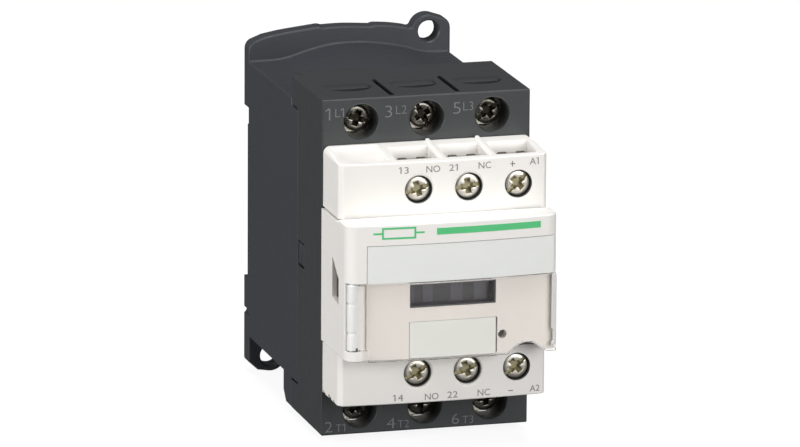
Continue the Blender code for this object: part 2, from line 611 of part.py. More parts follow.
def coil_bobbin():
    """Moulded bobbin around the centre leg."""
    back = CORE_BACK + YOKE + GAP
    tube_x, tube_z = CENTRE_LEG / 2 + 1.4, STACK / 2 + 1.4
    bobbin = box("coil_bobbin", about(0, BOBBIN_X), (back, BOBBIN_FRONT), about(0, BOBBIN_Z),
                 "bobbin_nylon")
    space = slab("winding_space", [rectangle(about(0, BOBBIN_X + 5), about(0, BOBBIN_Z + 5)),
                                   rectangle(about(0, tube_x), about(0, tube_z))],
                 "Y", back + FLANGE, BOBBIN_FRONT - FLANGE)
    bore = box("leg_bore", about(0, tube_x - 1.0), (back - 2, BOBBIN_FRONT + 2), about(0, tube_z - 1.0))
    return cut(bobbin, bore, space)


def coil_winding():
    """Copper winding, a rounded tube of wire between the flanges."""
    back = CORE_BACK + YOKE + GAP + FLANGE
    tube_x, tube_z = CENTRE_LEG / 2 + 1.4 + GAP, STACK / 2 + 1.4 + GAP
    wide, tall, r = BOBBIN_X - 0.6, BOBBIN_Z - 1.6, 2.5
    outer = [p for a, (sx, sz) in enumerate(((1, 1), (-1, 1), (-1, -1), (1, -1)))
             for p in arc((sx * (wide - r), sz * (tall - r)), r, 90 * a, 90 * a + 90, 4)]
    return slab("coil_winding", [outer, rectangle(about(0, tube_x), about(0, tube_z))],
                "Y", back + 0.2, BOBBIN_FRONT - FLANGE - 0.2, "enamelled_copper")


def armature():
    """Moving laminated core, drilled for the key that holds it to the carrier."""
    yoke = ARMATURE_BACK + ARMATURE_LEG
    outline = e_outline(yoke + ARMATURE_YOKE, yoke, ARMATURE_BACK, CENTRE_LEG / 2 - 0.3, -1)
    return slab("armature", [outline, circle((0, KEY_DEPTH), KEY_R + GAP, 12)],
                "Z", -STACK / 2, STACK / 2, "silicon_steel")


def armature_key():
    return rod("armature_key", (0, KEY_DEPTH), about(0, STACK / 2 + KEY_REACH), KEY_R, "plated_steel",
               sides=16, along="Z")


def return_spring(name, side):
    return coil(name, (0, BOBBIN_FRONT + 0.15, side * SPRING_Z), CARRIER_BACK - BOBBIN_FRONT - GAP,
                SPRING_R, 0.5, 4)


def cage(name, x, half, wall, z, depth):
    """Two side walls of a bridge cage."""
    return [box(f"{name}_{side}", about(x + side * (half + wall / 2), wall / 2), depth, about(0, z))
            for side in (-1, 1)]


def contact_carrier():
    """Moving carrier: armature lugs, three pole cages, two auxiliary cages and the indicator."""
    bar_front = CARRIER_BACK + CARRIER_BAR
    carrier = box("contact_carrier", about(POLE_MIDDLE, 18.2), (CARRIER_BACK, bar_front),
                  about(0, 4.0), "carrier_polyamide")
    pieces = [box("spring_arms", about(0, 4.5), (CARRIER_BACK, CARRIER_BACK + 2.2),
                  about(0, SPRING_Z + SPRING_R + 0.4)),
              box("front_plate", about(POLE_MIDDLE, 18.2), (PLATE_BACK, CARRIER_FRONT), about(0, 4.4)),
              box("indicator_block", about(0.15, 8.7), (INDICATOR - 1.8, INDICATOR), about(0, 4.2))]
    for side in (1, -1):
        pieces.append(box(f"lug_{side}", about(0, 4.0), (KEY_DEPTH - 2.6, CARRIER_BACK + 1),
                          signed(side, STACK / 2 + 0.4, STACK / 2 + 2.0)))
    for i, x in enumerate(POLES):
        pieces += cage(f"cage_{i}", x, BRIDGE_HALF + 0.4, 1.2, 3.4, (bar_front - 0.5, PLATE_BACK + 0.5))
        pieces.append(box(f"seat_{i}", about(x, BRIDGE_HALF + 0.8),
                          (BRIDGE_BACK - GAP - 2.2, BRIDGE_BACK - GAP), about(0, 3.0)))
    for name, x, seat in (("no", AUX_X[0], (NO_BACK - GAP - 1.8, NO_BACK - GAP)),
                          ("nc", AUX_X[1], (NC_FRONT + 2.6, NC_FRONT + 4.2))):
        pieces += cage(f"aux_cage_{name}", x, 2.4, 1.0, 3.0, (CARRIER_FRONT - 0.5, INDICATOR - 1.5))
        pieces.append(box(f"aux_seat_{name}", about(x, 2.8), seat, about(0, 2.3)))
    join(carrier, *pieces)
    return cut(carrier,
               rod("key_hole", (0, KEY_DEPTH), about(0, STACK / 2 + OVER), KEY_R + GAP, sides=12,
                   along="Z"),
               rod("nc_spring_pocket", (AUX_X[1], 0), (CARRIER_FRONT - 1.9, CARRIER_FRONT + 1), 2.3))


# Contacts -------------------------------------------------------------------------------------

def bridge(name, x, back, thickness, half, reach, tip):
    """A moving contact bridge; tip is (radius, height of its centre, its span of depths)."""
    plate = box(name, about(x, half), (back, back + thickness), about(0, reach), "tinned_copper")
    radius, z, span = tip
    return join(plate, *[rod(f"{name}_tip_{s}", (x, s * z), span, radius, sides=10) for s in (1, -1)])


def power_bridge(i):
    return bridge(f"power_bridge_{i + 1}", POLES[i], BRIDGE_BACK, BRIDGE_T, BRIDGE_HALF, TIP_Z + 2.5,
                  (TIP_R, TIP_Z, (BRIDGE_BACK - TIP_T, BRIDGE_BACK + 0.3)))


def bridge_spring(i):
    length = PLATE_BACK - BRIDGE_FRONT - 2 * 0.2
    return coil(f"bridge_spring_{i + 1}", (POLES[i], BRIDGE_FRONT + 0.2, 0), length, SPRING_R,
                0.45, 2)


def strip(name, x, sign, z, halves, inner, depth, hole, tip, finish="tinned_copper"):
    """A fixed contact: terminal plate with the screw's hole, a neck inward and a contact tip."""
    wide, narrow, reach = halves
    outer, shoulder = abs(z) + reach, abs(z) - reach
    neck = shoulder - (wide - narrow)
    outline = [(x + side * half, sign * height) for side, points in
               ((-1, ((wide, outer), (wide, shoulder), (narrow, neck), (narrow, inner))),
                (1, ((narrow, inner), (narrow, neck), (wide, shoulder), (wide, outer))))
               for half, height in points]
    plate = slab(name, [outline, circle((x, z), hole)], "Y", *depth, finish)
    radius, tip_z, span = tip
    return join(plate, rod(name + "_tip", (x, sign * tip_z), span, radius, sides=10))


def power_contact(row, i):
    sign = 1 if row == "line" else -1
    return strip(f"{row}_contact_{i + 1}", POLES[i], sign, sign * POWER_Z, (BAR_HALF, 2.9, 3.7),
                 TIP_Z - 2.6, (BAR_DEPTH, BAR_FACE), POWER_SHANK_R + GAP,
                 (TIP_R, TIP_Z, (BAR_FACE - 0.4, BAR_FACE + TIP_T)))


def power_clamp(row, i):
    z = POWER_Z if row == "line" else -POWER_Z
    plate = rectangle(about(POLES[i], BAR_HALF - 0.1), about(z, 3.6))
    return slab(f"{row}_clamp_{i + 1}", [plate, circle((POLES[i], z), POWER_SHANK_R + GAP)],
                "Y", CLAMP_BACK, CLAMP_BACK + CLAMP_T, "plated_steel")


def slotted(screw, centre, depth, width, radius, turn):
    """Cut the driver's slot into a screw's head."""
    slot = box(screw.name + "_slot", about(0, radius + 1), (depth, depth + 2), about(0, width / 2))
    slot.location = (centre[0] * MM, -(depth + 1) * MM, centre[1] * MM)
    slot.rotation_euler = (0, math.radians(turn), 0)
    return cut(screw, slot)


def power_screw(row, i):
    z = POWER_Z if row == "line" else -POWER_Z
    tip, top = BAR_DEPTH - 2.5, HEAD_BACK + POWER_HEAD_T
    profile = [(0, top), (POWER_HEAD_R * 0.6, top), (POWER_HEAD_R, top - 0.7), (POWER_HEAD_R, HEAD_BACK),
               (POWER_SHANK_R, HEAD_BACK), (POWER_SHANK_R, tip + 0.5), (POWER_SHANK_R - 0.5, tip),
               (0, tip)]
    screw = turned(f"{row}_screw_{i + 1}", profile, (POLES[i], z), "plated_steel")
    return slotted(screw, (POLES[i], z), top - 1.0, 0.9, POWER_HEAD_R, 25 + 35 * i)


AUX_MARKS = {(0, 1): "13", (1, 1): "21", (0, -1): "14", (1, -1): "22", (2, 1): "a1", (2, -1): "a2"}


def aux_contact(i, sign):
    """Fixed contact of an auxiliary pole: its tip faces the side the bridge comes from."""
    x, z = AUX_X[i], AUX_Z[0 if sign > 0 else 1]
    span = (AUX_FACE - 0.3, AUX_FACE + AUX_TIP_T) if i == 0 else (AUX_BAR - AUX_TIP_T, AUX_BAR + 0.3)
    return strip(f"aux_contact_{AUX_MARKS[i, sign]}", x, sign, z, (3.5, 1.8, 2.6), AUX_TIP_Z - 1.5,
                 (AUX_BAR, AUX_FACE), AUX_SHANK_R + GAP, (AUX_TIP_R, AUX_TIP_Z, span))


def coil_terminal(sign):
    """Coil terminal: plate under its screw, a strip back past the poles, and a foot on the bobbin."""
    x, z = AUX_X[2], AUX_Z[0 if sign > 0 else 1]
    lap = COIL_STRIP_T / 2
    plate = slab(f"coil_terminal_{AUX_MARKS[2, sign]}",
                 [rectangle((x - 3.4, COIL_STRIP_X - lap), about(z, 3.1)),
                  circle((x, z), AUX_SHANK_R + GAP)], "Y", AUX_BAR, AUX_FACE, "tinned_copper")
    heights = signed(sign, 17.4, 21.2)
    foot = BOBBIN_FRONT + GAP
    return join(plate,
                box(f"coil_strip_{sign}", (COIL_STRIP_X - COIL_STRIP_T, COIL_STRIP_X),
                    (foot + lap, AUX_BAR + AUX_BAR_T / 2), heights),
                box(f"coil_foot_{sign}", (BOBBIN_X - 2, COIL_STRIP_X - lap),
                    (foot, foot + COIL_STRIP_T), signed(sign, 17.7, 20.9)))


def aux_screw(i, sign):
    """Screw of an auxiliary or coil terminal with its captive washer."""
    x, z = AUX_X[i], AUX_Z[0 if sign > 0 else 1]
    back, tip = AUX_HEAD_BACK, AUX_BAR - 2.3
    r = AUX_HEAD_R
    profile = [(0, LABEL_FACE), (r * 0.7, LABEL_FACE - 0.05), (r, LABEL_FACE - 0.5), (r, back),
               (AUX_SHANK_R + 0.1, back), (AUX_SHANK_R + 0.1, back - 0.2), (r + 0.3, back - 0.2),
               (r + 0.3, back - 1.0), (AUX_SHANK_R, back - 1.0), (AUX_SHANK_R, tip + 0.4),
               (AUX_SHANK_R - 0.4, tip), (0, tip)]
    screw = turned(f"terminal_screw_{AUX_MARKS[i, sign]}", profile, (x, z), "plated_steel")
    return slotted(screw, (x, z), LABEL_FACE - 0.9, 0.8, r, -20 + 15 * i * sign)


def aux_bridge(i):
    """Auxiliary bridge: the normally open one closes backward, the other opens backward."""
    x = AUX_X[i]
    back = NO_BACK if i == 0 else NC_FRONT - AUX_BRIDGE_T
    span = (NO_BACK - 0.5, NO_BACK + 0.3) if i == 0 else (NC_FRONT - 0.3, NC_FRONT + 0.5)
    return bridge(("aux_bridge_no", "aux_bridge_nc")[i], x, back, AUX_BRIDGE_T, 1.9, AUX_TIP_Z + 1.4,
                  (AUX_TIP_R, AUX_TIP_Z, span))


def aux_spring(i):
    if i == 0:
        start, end = NO_BACK + AUX_BRIDGE_T, INDICATOR - 1.8
    else:
        start, end = CARRIER_FRONT - 1.9, NC_FRONT - AUX_BRIDGE_T
    return coil(("aux_spring_no", "aux_spring_nc")[i], (AUX_X[i], start + 0.15, 0), end - start - 0.3,
                1.9, 0.32, 2)


def build():
    """Model every piece of the contactor."""
    clear_scene()
    for piece in (mounting_base, rail_clip, rail_clip_spring, contact_block, terminal_housing,
                  front_cover, front_flap, marker_plate, rating_label, fixed_core, core_cushion,
                  coil_bobbin, coil_winding, armature, armature_key, contact_carrier):
        piece()
    for side, word in ((-1, "left"), (1, "right")):
        shading_ring(f"shading_ring_{word}", side)
    for side, word in ((1, "upper"), (-1, "lower")):
        return_spring(f"return_spring_{word}", side)
    for i in range(3):
        power_bridge(i)
        bridge_spring(i)
        for row in ("line", "load"):
            power_contact(row, i)
            power_clamp(row, i)
            power_screw(row, i)
        for sign in (1, -1):
            aux_screw(i, sign)
    for i in (0, 1):
        aux_bridge(i)
        aux_spring(i)
        for sign in (1, -1):
            aux_contact(i, sign)
    for sign in (1, -1):
        coil_terminal(sign)


build()
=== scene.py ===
"""Detailed visual model of a 45 mm, three-pole DIN rail contactor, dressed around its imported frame.

Every class below is one sub-assembly. Its sizes are in millimetres and are described as the CAD
describes them: x to the right, z up, and depth measured forward from the mounting plane, so a
depth of 10 mm lies at y = -10 mm. Spans that must fit the frame are read from the frame's nodes.
"""
import logging
import math
from dataclasses import dataclass, field
from enum import Enum
from typing import Callable, Iterable, Sequence

import bmesh
import bpy
from mathutils import Matrix, Vector


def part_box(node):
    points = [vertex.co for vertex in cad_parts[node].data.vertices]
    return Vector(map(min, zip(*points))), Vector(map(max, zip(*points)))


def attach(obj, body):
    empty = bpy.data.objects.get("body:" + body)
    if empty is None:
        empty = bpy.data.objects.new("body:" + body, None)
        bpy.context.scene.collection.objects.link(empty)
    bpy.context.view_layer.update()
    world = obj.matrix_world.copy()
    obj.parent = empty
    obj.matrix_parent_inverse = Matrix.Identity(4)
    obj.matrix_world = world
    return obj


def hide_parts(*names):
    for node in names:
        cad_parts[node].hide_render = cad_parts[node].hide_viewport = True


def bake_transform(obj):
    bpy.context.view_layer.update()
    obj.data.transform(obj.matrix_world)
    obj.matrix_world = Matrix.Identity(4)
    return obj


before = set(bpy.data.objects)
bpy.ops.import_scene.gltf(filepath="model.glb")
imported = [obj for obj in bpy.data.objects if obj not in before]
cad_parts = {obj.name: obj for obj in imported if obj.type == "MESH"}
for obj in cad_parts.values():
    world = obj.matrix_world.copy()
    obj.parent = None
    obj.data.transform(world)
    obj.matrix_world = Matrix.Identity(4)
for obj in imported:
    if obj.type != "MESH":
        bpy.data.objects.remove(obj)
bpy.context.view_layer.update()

LOG = logging.getLogger("contactor")
MM = 0.001
OVER = 6.0          # how far a cutter runs past the wall it opens
GAP = 0.3           # clearance between fitted pieces
SEAT = 0.12         # clearance round a label in its seat
Pair = tuple[float, float]
Outline = list[Pair]


class Axis(Enum):
    """The direction along which an outline is pulled."""

    X = "across"
    Y = "forward"
    Z = "upward"

    def place(self, u: float, v: float, w: float) -> Vector:
        """Point of an outline's coordinates (u, v) at w along the pull.

        Args:
            u: x, or depth for an outline pulled across.
            v: z, or depth for an outline pulled upward.
            w: depth, x or z, along the pull.

        Returns:
            The point in the row frame's directions, in millimetres.
        """
        if self is Axis.Y:
            return Vector((u, -w, v))
        if self is Axis.X:
            return Vector((w, -u, v))
        return Vector((u, -v, w))


@dataclass(frozen=True)
class Place:
    """Spans of a frame node in millimetres."""

    x: Pair
    depth: Pair
    z: Pair

    @classmethod
    def of(cls, node: str) -> "Place":
        """Read a node's spans from the frame."""
        low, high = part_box(node)
        return cls((low.x / MM, high.x / MM), (-high.y / MM, -low.y / MM), (low.z / MM, high.z / MM))

    @property
    def centre(self) -> Pair:
        """Middle of the node seen from the front, as (x, z)."""
        return (sum(self.x) / 2, sum(self.z) / 2)


def about(middle: float, half: float) -> Pair:
    """A span of a half-width on both sides of a middle."""
    return (middle - half, middle + half)


def signed(sign: int, low: float, high: float) -> Pair:
    """A span of heights above the middle, or its mirror below it."""
    return (low, high) if sign > 0 else (-high, -low)


def arc(centre: Pair, radius: float, start: float, stop: float, steps: int = 8) -> Outline:
    """Points along part of a circle, from one angle to another in degrees."""
    angles = [math.radians(start + (stop - start) * i / steps) for i in range(steps + 1)]
    return [(centre[0] + radius * math.cos(a), centre[1] + radius * math.sin(a)) for a in angles]


def smooth_line(knots: Sequence[Pair], steps: int = 6) -> Outline:
    """A smooth open line through its knots, for crests and roofs.

    Args:
        knots: Points that the line passes through.
        steps: Points from one knot to the next.

    Returns:
        The line's points, its last knot included.
    """
    padded = [knots[0], *knots, knots[-1]]
    line: Outline = []
    for a, b, c, d in zip(padded, padded[1:], padded[2:], padded[3:]):
        for i in range(steps):
            t = i / steps
            line.append(tuple(0.5 * (2 * b[k] + (c[k] - a[k]) * t
                                     + (2 * a[k] - 5 * b[k] + 4 * c[k] - d[k]) * t ** 2
                                     + (3 * b[k] - a[k] - 3 * c[k] + d[k]) * t ** 3) for k in (0, 1)))
    return [*line, knots[-1]]


class Form:
    """A closed shape in millimetres that is cut, joined and eased before it becomes a piece."""

    def __init__(self, bm: bmesh.types.BMesh) -> None:
        """Hold a bmesh whose faces point outward."""
        self.bm = bm

    @classmethod
    def block(cls, x: Pair, depth: Pair, z: Pair, ease: float = 0.0, segments: int = 3) -> "Form":
        """A block between two x values, two depths and two heights.

        Args:
            x: Left and right.
            depth: Back and front.
            z: Bottom and top.
            ease: Radius of its rounded edges.
            segments: Steps of each rounded edge.

        Returns:
            The new form.
        """
        bm = bmesh.new()
        bmesh.ops.create_cube(bm, size=1.0)
        bmesh.ops.scale(bm, vec=[abs(b - a) for a, b in (x, depth, z)], verts=bm.verts)
        bmesh.ops.translate(bm, vec=(sum(x) / 2, -sum(depth) / 2, sum(z) / 2), verts=bm.verts)
        form = cls(bm)
        return form.ease(ease, segments) if ease else form

    @classmethod
    def prism(cls, outline: Outline, axis: Axis, low: float, high: float) -> "Form":
        """An outline pulled from low to high along an axis.

        Args:
            outline: Corners as (u, v), in the way that Axis.place reads them.
            axis: Direction of the pull.
            low: Where the pull starts.
            high: Where it ends.

        Returns:
            The new form.
        """
        bm = bmesh.new()
        face = bm.faces.new([bm.verts.new(axis.place(u, v, low)) for u, v in outline])
        grown = bmesh.ops.extrude_face_region(bm, geom=[face])["geom"]
        step = axis.place(0, 0, high) - axis.place(0, 0, low)
        bmesh.ops.translate(bm, vec=step, verts=[g for g in grown if isinstance(g, bmesh.types.BMVert)])
        bmesh.ops.recalc_face_normals(bm, faces=bm.faces)
        return cls(bm)

    @classmethod
    def lathe(cls, profile: Outline, centre: Pair, steps: int = 48, axis: Axis = Axis.Y) -> "Form":
        """A solid turned about an axis.

        Args:
            profile: Points as (radius, distance along the axis).
            centre: Where the axis passes.
            steps: Faces round the axis.
            axis: Direction of the axis.

        Returns:
            The new form.
        """
        bm = bmesh.new()
        verts = [bm.verts.new(axis.place(centre[0] + r, centre[1], w)) for r, w in profile]
        edges = [bm.edges.new(pair) for pair in zip(verts, verts[1:])]
        bmesh.ops.spin(bm, geom=verts + edges, cent=axis.place(*centre, 0),
                       axis=axis.place(0, 0, 1).normalized(), angle=math.tau, steps=steps,
                       use_merge=True)
        bmesh.ops.remove_doubles(bm, verts=bm.verts, dist=1e-5)
        bmesh.ops.recalc_face_normals(bm, faces=bm.faces)
        return cls(bm)

    @classmethod
    def rod(cls, centre: Pair, span: Pair, radius: float, axis: Axis = Axis.Y, sides: int = 32,
            edge: float = 0.0) -> "Form":
        """A round bar along an axis, with an optional rounded rim.

        Args:
            centre: Where the axis passes.
            span: The bar's two ends.
            radius: Its radius.
            axis: Its direction.
            sides: Faces round the bar.
            edge: Radius of its rims.

        Returns:
            The new form.
        """
        low, high = span
        rim = [(radius - edge + edge * math.sin(math.pi / 2 * i / 3),
                edge * (1 - math.cos(math.pi / 2 * i / 3))) for i in range(4)] if edge else [(radius, 0)]
        profile = [(0, low), *[(r, low + h) for r, h in rim],
                   *[(r, high - h) for r, h in reversed(rim)], (0, high)]
        return cls.lathe(profile, centre, sides, axis)

    @classmethod
    def of_node(cls, node: str) -> "Form":
        """A merged copy of a frame node's mesh, with its flat faces made whole.

        Args:
            node: Name of the node.

        Returns:
            The new form; the node itself is left as it is.
        """
        bm = bmesh.new()
        bm.from_mesh(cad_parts[node].data)
        bmesh.ops.scale(bm, vec=(1 / MM,) * 3, verts=bm.verts)
        bmesh.ops.remove_doubles(bm, verts=bm.verts, dist=2e-3)
        return cls(bm).tidy()

    def tidy(self) -> "Form":
        """Merge stray corners and make flat faces whole.

        Returns:
            The same form.
        """
        bmesh.ops.remove_doubles(self.bm, verts=self.bm.verts, dist=1e-3)
        bmesh.ops.dissolve_limit(self.bm, angle_limit=math.radians(0.08), use_dissolve_boundaries=False,
                                 verts=self.bm.verts, edges=self.bm.edges)
        return self

    def ease(self, width: float, segments: int = 3, angle: float = 32.0,
             where: Callable[[Vector], bool] | None = None, clamp: bool = True) -> "Form":
        """Round the sharp edges.

        Args:
            width: Distance from an edge to where its rounding starts.
            segments: Steps of each rounding.
            angle: Edges that turn by more than this, in degrees, are rounded.
            where: Keeps only edges whose middle it accepts.
            clamp: Whether neighbouring roundings may not overlap.

        Returns:
            The same form.
        """
        limit = math.radians(angle)
        edges = [e for e in self.bm.edges
                 if len(e.link_faces) == 2 and e.calc_face_angle() > limit
                 and (where is None or where((e.verts[0].co + e.verts[1].co) / 2))]
        bmesh.ops.bevel(self.bm, geom=edges, offset=width, offset_type="OFFSET", segments=segments,
                        profile=0.5, affect="EDGES", clamp_overlap=clamp, material=-1)
        return self

    def moved(self, matrix: Matrix) -> "Form":
        """The same form after a turn or a shift."""
        bmesh.ops.transform(self.bm, matrix=matrix, verts=self.bm.verts)
        return self

    def turned(self, degrees: float, centre: Pair) -> "Form":
        """Turn the form about a line along the depth.

        Args:
            degrees: Angle of the turn.
            centre: Where the line passes, as (x, z).

        Returns:
            The same form.
        """
        about_line = Matrix.Translation((centre[0], 0, centre[1]))
        return self.moved(about_line @ Matrix.Rotation(math.radians(degrees), 4, "Y")
                          @ about_line.inverted())

    def host(self) -> bpy.types.Object:
        """Put the form into a working object.

        Returns:
            The object, which the caller removes.
        """
        mesh = bpy.data.meshes.new("work")
        self.bm.to_mesh(mesh)
        obj = bpy.data.objects.new("work", mesh)
        bpy.context.scene.collection.objects.link(obj)
        return obj

    def combine(self, others: Iterable["Form"], operation: str) -> "Form":
        """Join other forms to this one, or cut them from it.

        Args:
            others: The forms to join or cut away.
            operation: UNION or DIFFERENCE.

        Returns:
            The same form.
        """
        hosts = [form.host() for form in (self, *others)]
        for tool in hosts[1:]:
            fit = hosts[0].modifiers.new("fit", "BOOLEAN")
            fit.operation, fit.solver, fit.object = operation, "EXACT", tool
        bpy.context.view_layer.update()
        evaluated = hosts[0].evaluated_get(bpy.context.evaluated_depsgraph_get())
        mesh = bpy.data.meshes.new_from_object(evaluated)
        self.bm.clear()
        self.bm.from_mesh(mesh)
        bpy.data.meshes.remove(mesh)
        for obj in hosts:
            bpy.data.meshes.remove(obj.data)
        return self.tidy()

    def join(self, *others: "Form") -> "Form":
        """This form with others joined to it."""
        return self.combine(others, "UNION")

    def cut(self, *others: "Form") -> "Form":
        """This form with others cut away."""
        return self.combine(others, "DIFFERENCE")

    def add(self, *others: "Form") -> "Form":
        """Lay other forms beside this one in one mesh, without a join.

        Args:
            others: The forms to lay beside it.

        Returns:
            The same form.
        """
        for other in others:
            mesh = bpy.data.meshes.new("work")
            other.bm.to_mesh(mesh)
            self.bm.from_mesh(mesh)
            bpy.data.meshes.remove(mesh)
        return self


@dataclass
class Graph:
    """A material's node tree, built from short calls."""

    name: str
    tree: bpy.types.NodeTree = field(init=False)
    shader: bpy.types.Node = field(init=False)
    coords: bpy.types.NodeSocket = field(init=False)
    material: bpy.types.Material = field(init=False)

    def __post_init__(self) -> None:
        """Start a Principled material that reads Object coordinates."""
        self.material = bpy.data.materials.new(self.name)
        self.material.use_nodes = True
        self.tree = self.material.node_tree
        self.shader = self.tree.nodes["Principled BSDF"]
        self.coords = self.node("ShaderNodeTexCoord").outputs["Object"]

    def node(self, kind: str, **values: object) -> bpy.types.Node:
        """Add a node.

        Args:
            kind: Blender's name for the type of node.
            values: Its properties, or its inputs where it has no such property.

        Returns:
            The node.
        """
        made = self.tree.nodes.new(kind)
        for key, value in values.items():
            if hasattr(made, key):
                setattr(made, key, value)
                continue
            socket = made.inputs[key.replace("_", " ")]
            if isinstance(value, bpy.types.NodeSocket):
                self.tree.links.new(value, socket)
            else:
                socket.default_value = value
        return made

    def noise(self, scale: float, detail: float = 2.0, stretch: Sequence[float] = (1, 1, 1),
              rough: float = 0.5) -> bpy.types.NodeSocket:
        """Add a noise pattern.

        Args:
            scale: Features to the metre.
            detail: Octaves.
            stretch: Scale along each axis.
            rough: Weight of the finer octaves.

        Returns:
            The pattern.
        """
        coords = self.node("ShaderNodeMapping", Vector=self.coords, Scale=tuple(stretch)).outputs[0]
        return self.node("ShaderNodeTexNoise", Vector=coords, Scale=scale, Detail=detail,
                         Roughness=rough).outputs["Fac"]

    def bands(self, pitch: float, direction: str, distortion: float = 0.4) -> bpy.types.NodeSocket:
        """Even bands with a pitch in millimetres along X, Y or Z."""
        repeat = math.tau / 20       # length of one band at a scale of one
        return self.node("ShaderNodeTexWave", Vector=self.coords, bands_direction=direction,
                         Scale=repeat / (pitch * MM), Distortion=distortion, Detail=1.0,
                         Detail_Scale=0.5).outputs["Fac"]

    def spread(self, value: bpy.types.NodeSocket, low: float, high: float,
               span: Pair = (0.3, 0.7)) -> bpy.types.NodeSocket:
        """Stretch a pattern's middle span to run from low to high.

        Args:
            value: The pattern.
            low: Result at the span's start.
            high: Result at its end.
            span: The part of the pattern that is used.

        Returns:
            The stretched pattern.
        """
        made = self.node("ShaderNodeMapRange", Value=value)
        for key, number in (("From Min", span[0]), ("From Max", span[1]), ("To Min", low), ("To Max", high)):
            made.inputs[key].default_value = number
        return made.outputs["Result"]

    def blend(self, factor: bpy.types.NodeSocket, first: Sequence[float] | bpy.types.NodeSocket,
              second: Sequence[float] | bpy.types.NodeSocket) -> bpy.types.NodeSocket:
        """Mix two colours by a pattern.

        Args:
            factor: The pattern: nought gives the first colour, one the second.
            first: A colour or a colour pattern.
            second: Another.

        Returns:
            The mixed colour.
        """
        made = self.node("ShaderNodeMix", data_type="RGBA")
        self.tree.links.new(factor, made.inputs["Factor"])
        for socket, value in ((made.inputs[6], first), (made.inputs[7], second)):
            if isinstance(value, bpy.types.NodeSocket):
                self.tree.links.new(value, socket)
            else:
                socket.default_value = (*value, 1.0)
        return made.outputs[2]

    def maths(self, operation: str, first: bpy.types.NodeSocket,
              second: bpy.types.NodeSocket | float) -> bpy.types.NodeSocket:
        """Combine two patterns, or a pattern and a number.

        Args:
            operation: Blender's name for the operation.
            first: A pattern.
            second: A pattern or a number.

        Returns:
            The result.
        """
        made = self.node("ShaderNodeMath", operation=operation)
        self.tree.links.new(first, made.inputs[0])
        if isinstance(second, bpy.types.NodeSocket):
            self.tree.links.new(second, made.inputs[1])
        else:
            made.inputs[1].default_value = second
        return made.outputs[0]

    def edges(self, radius: float, low: float, high: float) -> bpy.types.NodeSocket:
        """Find the rounded edges, which are painted lighter as a highlight.

        Args:
            radius: Width of the painted edge highlight in millimetres.
            low: Sharpness that counts as one.
            high: Sharpness that counts as nought.

        Returns:
            One along the edges and nought elsewhere.
        """
        soft = self.node("ShaderNodeBevel", samples=4, Radius=radius * MM).outputs[0]
        plain = self.node("ShaderNodeNewGeometry").outputs["Normal"]
        dot = self.node("ShaderNodeVectorMath", operation="DOT_PRODUCT")
        self.tree.links.new(soft, dot.inputs[0])
        self.tree.links.new(plain, dot.inputs[1])
        return self.spread(dot.outputs["Value"], 1.0, 0.0, (low, high))

    def feed(self, **inputs: bpy.types.NodeSocket | float | Sequence[float]) -> None:
        """Link or set the shader's inputs.

        Args:
            inputs: Patterns, numbers or colours by input, with underscores for spaces.
        """
        for key, value in inputs.items():
            socket = self.shader.inputs[key.replace("_", " ")]
            if isinstance(value, bpy.types.NodeSocket):
                self.tree.links.new(value, socket)
            else:
                socket.default_value = value

    def relief(self, height: bpy.types.NodeSocket, micrometres: float, strength: float = 1.0) -> None:
        """Raise the surface by a pattern, after any relief that is already there.

        Args:
            height: The pattern.
            micrometres: Its full height.
            strength: Share that is used.
        """
        made = self.node("ShaderNodeBump", Height=height, Strength=strength,
                         Distance=micrometres * 1e-6)
        socket = self.shader.inputs["Normal"]
        if socket.is_linked:
            self.tree.links.new(socket.links[0].from_socket, made.inputs["Normal"])
        self.tree.links.new(made.outputs["Normal"], socket)


@dataclass(frozen=True)
class MouldedPlastic:
    """Spark-eroded moulded plastic: fine grain, faint flow marks, and edges painted lighter as a painted
    highlight.
    """

    name: str
    colour: tuple[float, float, float]
    tint: tuple[float, float, float]
    # colour of the random specks, and of the painted highlight along the edges
    edge: tuple[float, float, float]
    roughness: float
    grain: float = 6.0           # height of the grain in micrometres
    specular: float = 0.5
    scatter: float = 0.0

    def make(self) -> bpy.types.Material:
        """Build the material.

        Returns:
            The material.
        """
        g = Graph(self.name)
        flow = g.noise(40, 3)
        speck = g.noise(2600, 1)
        body = g.blend(g.spread(flow, 0, 1), self.colour, self.tint)
        body = g.blend(g.spread(speck, 0.0, 0.10), body, self.edge)
        # painted highlight: rounded edges are painted lighter, where light would catch them
        body = g.blend(g.maths("MULTIPLY", g.edges(0.25, 0.80, 0.99), 0.55), body, self.edge)
        g.feed(Base_Color=body, Roughness=g.spread(g.noise(380, 3), self.roughness - 0.02,
                                                   self.roughness + 0.04),
               Specular_IOR_Level=self.specular)
        if self.scatter:
            g.feed(Subsurface_Weight=self.scatter, Subsurface_Radius=(0.9, 0.8, 0.7),
                   Subsurface_Scale=0.0006)
        g.relief(g.noise(3400, 2), self.grain)
        g.relief(g.noise(130, 2), 3.0)
        return g.material


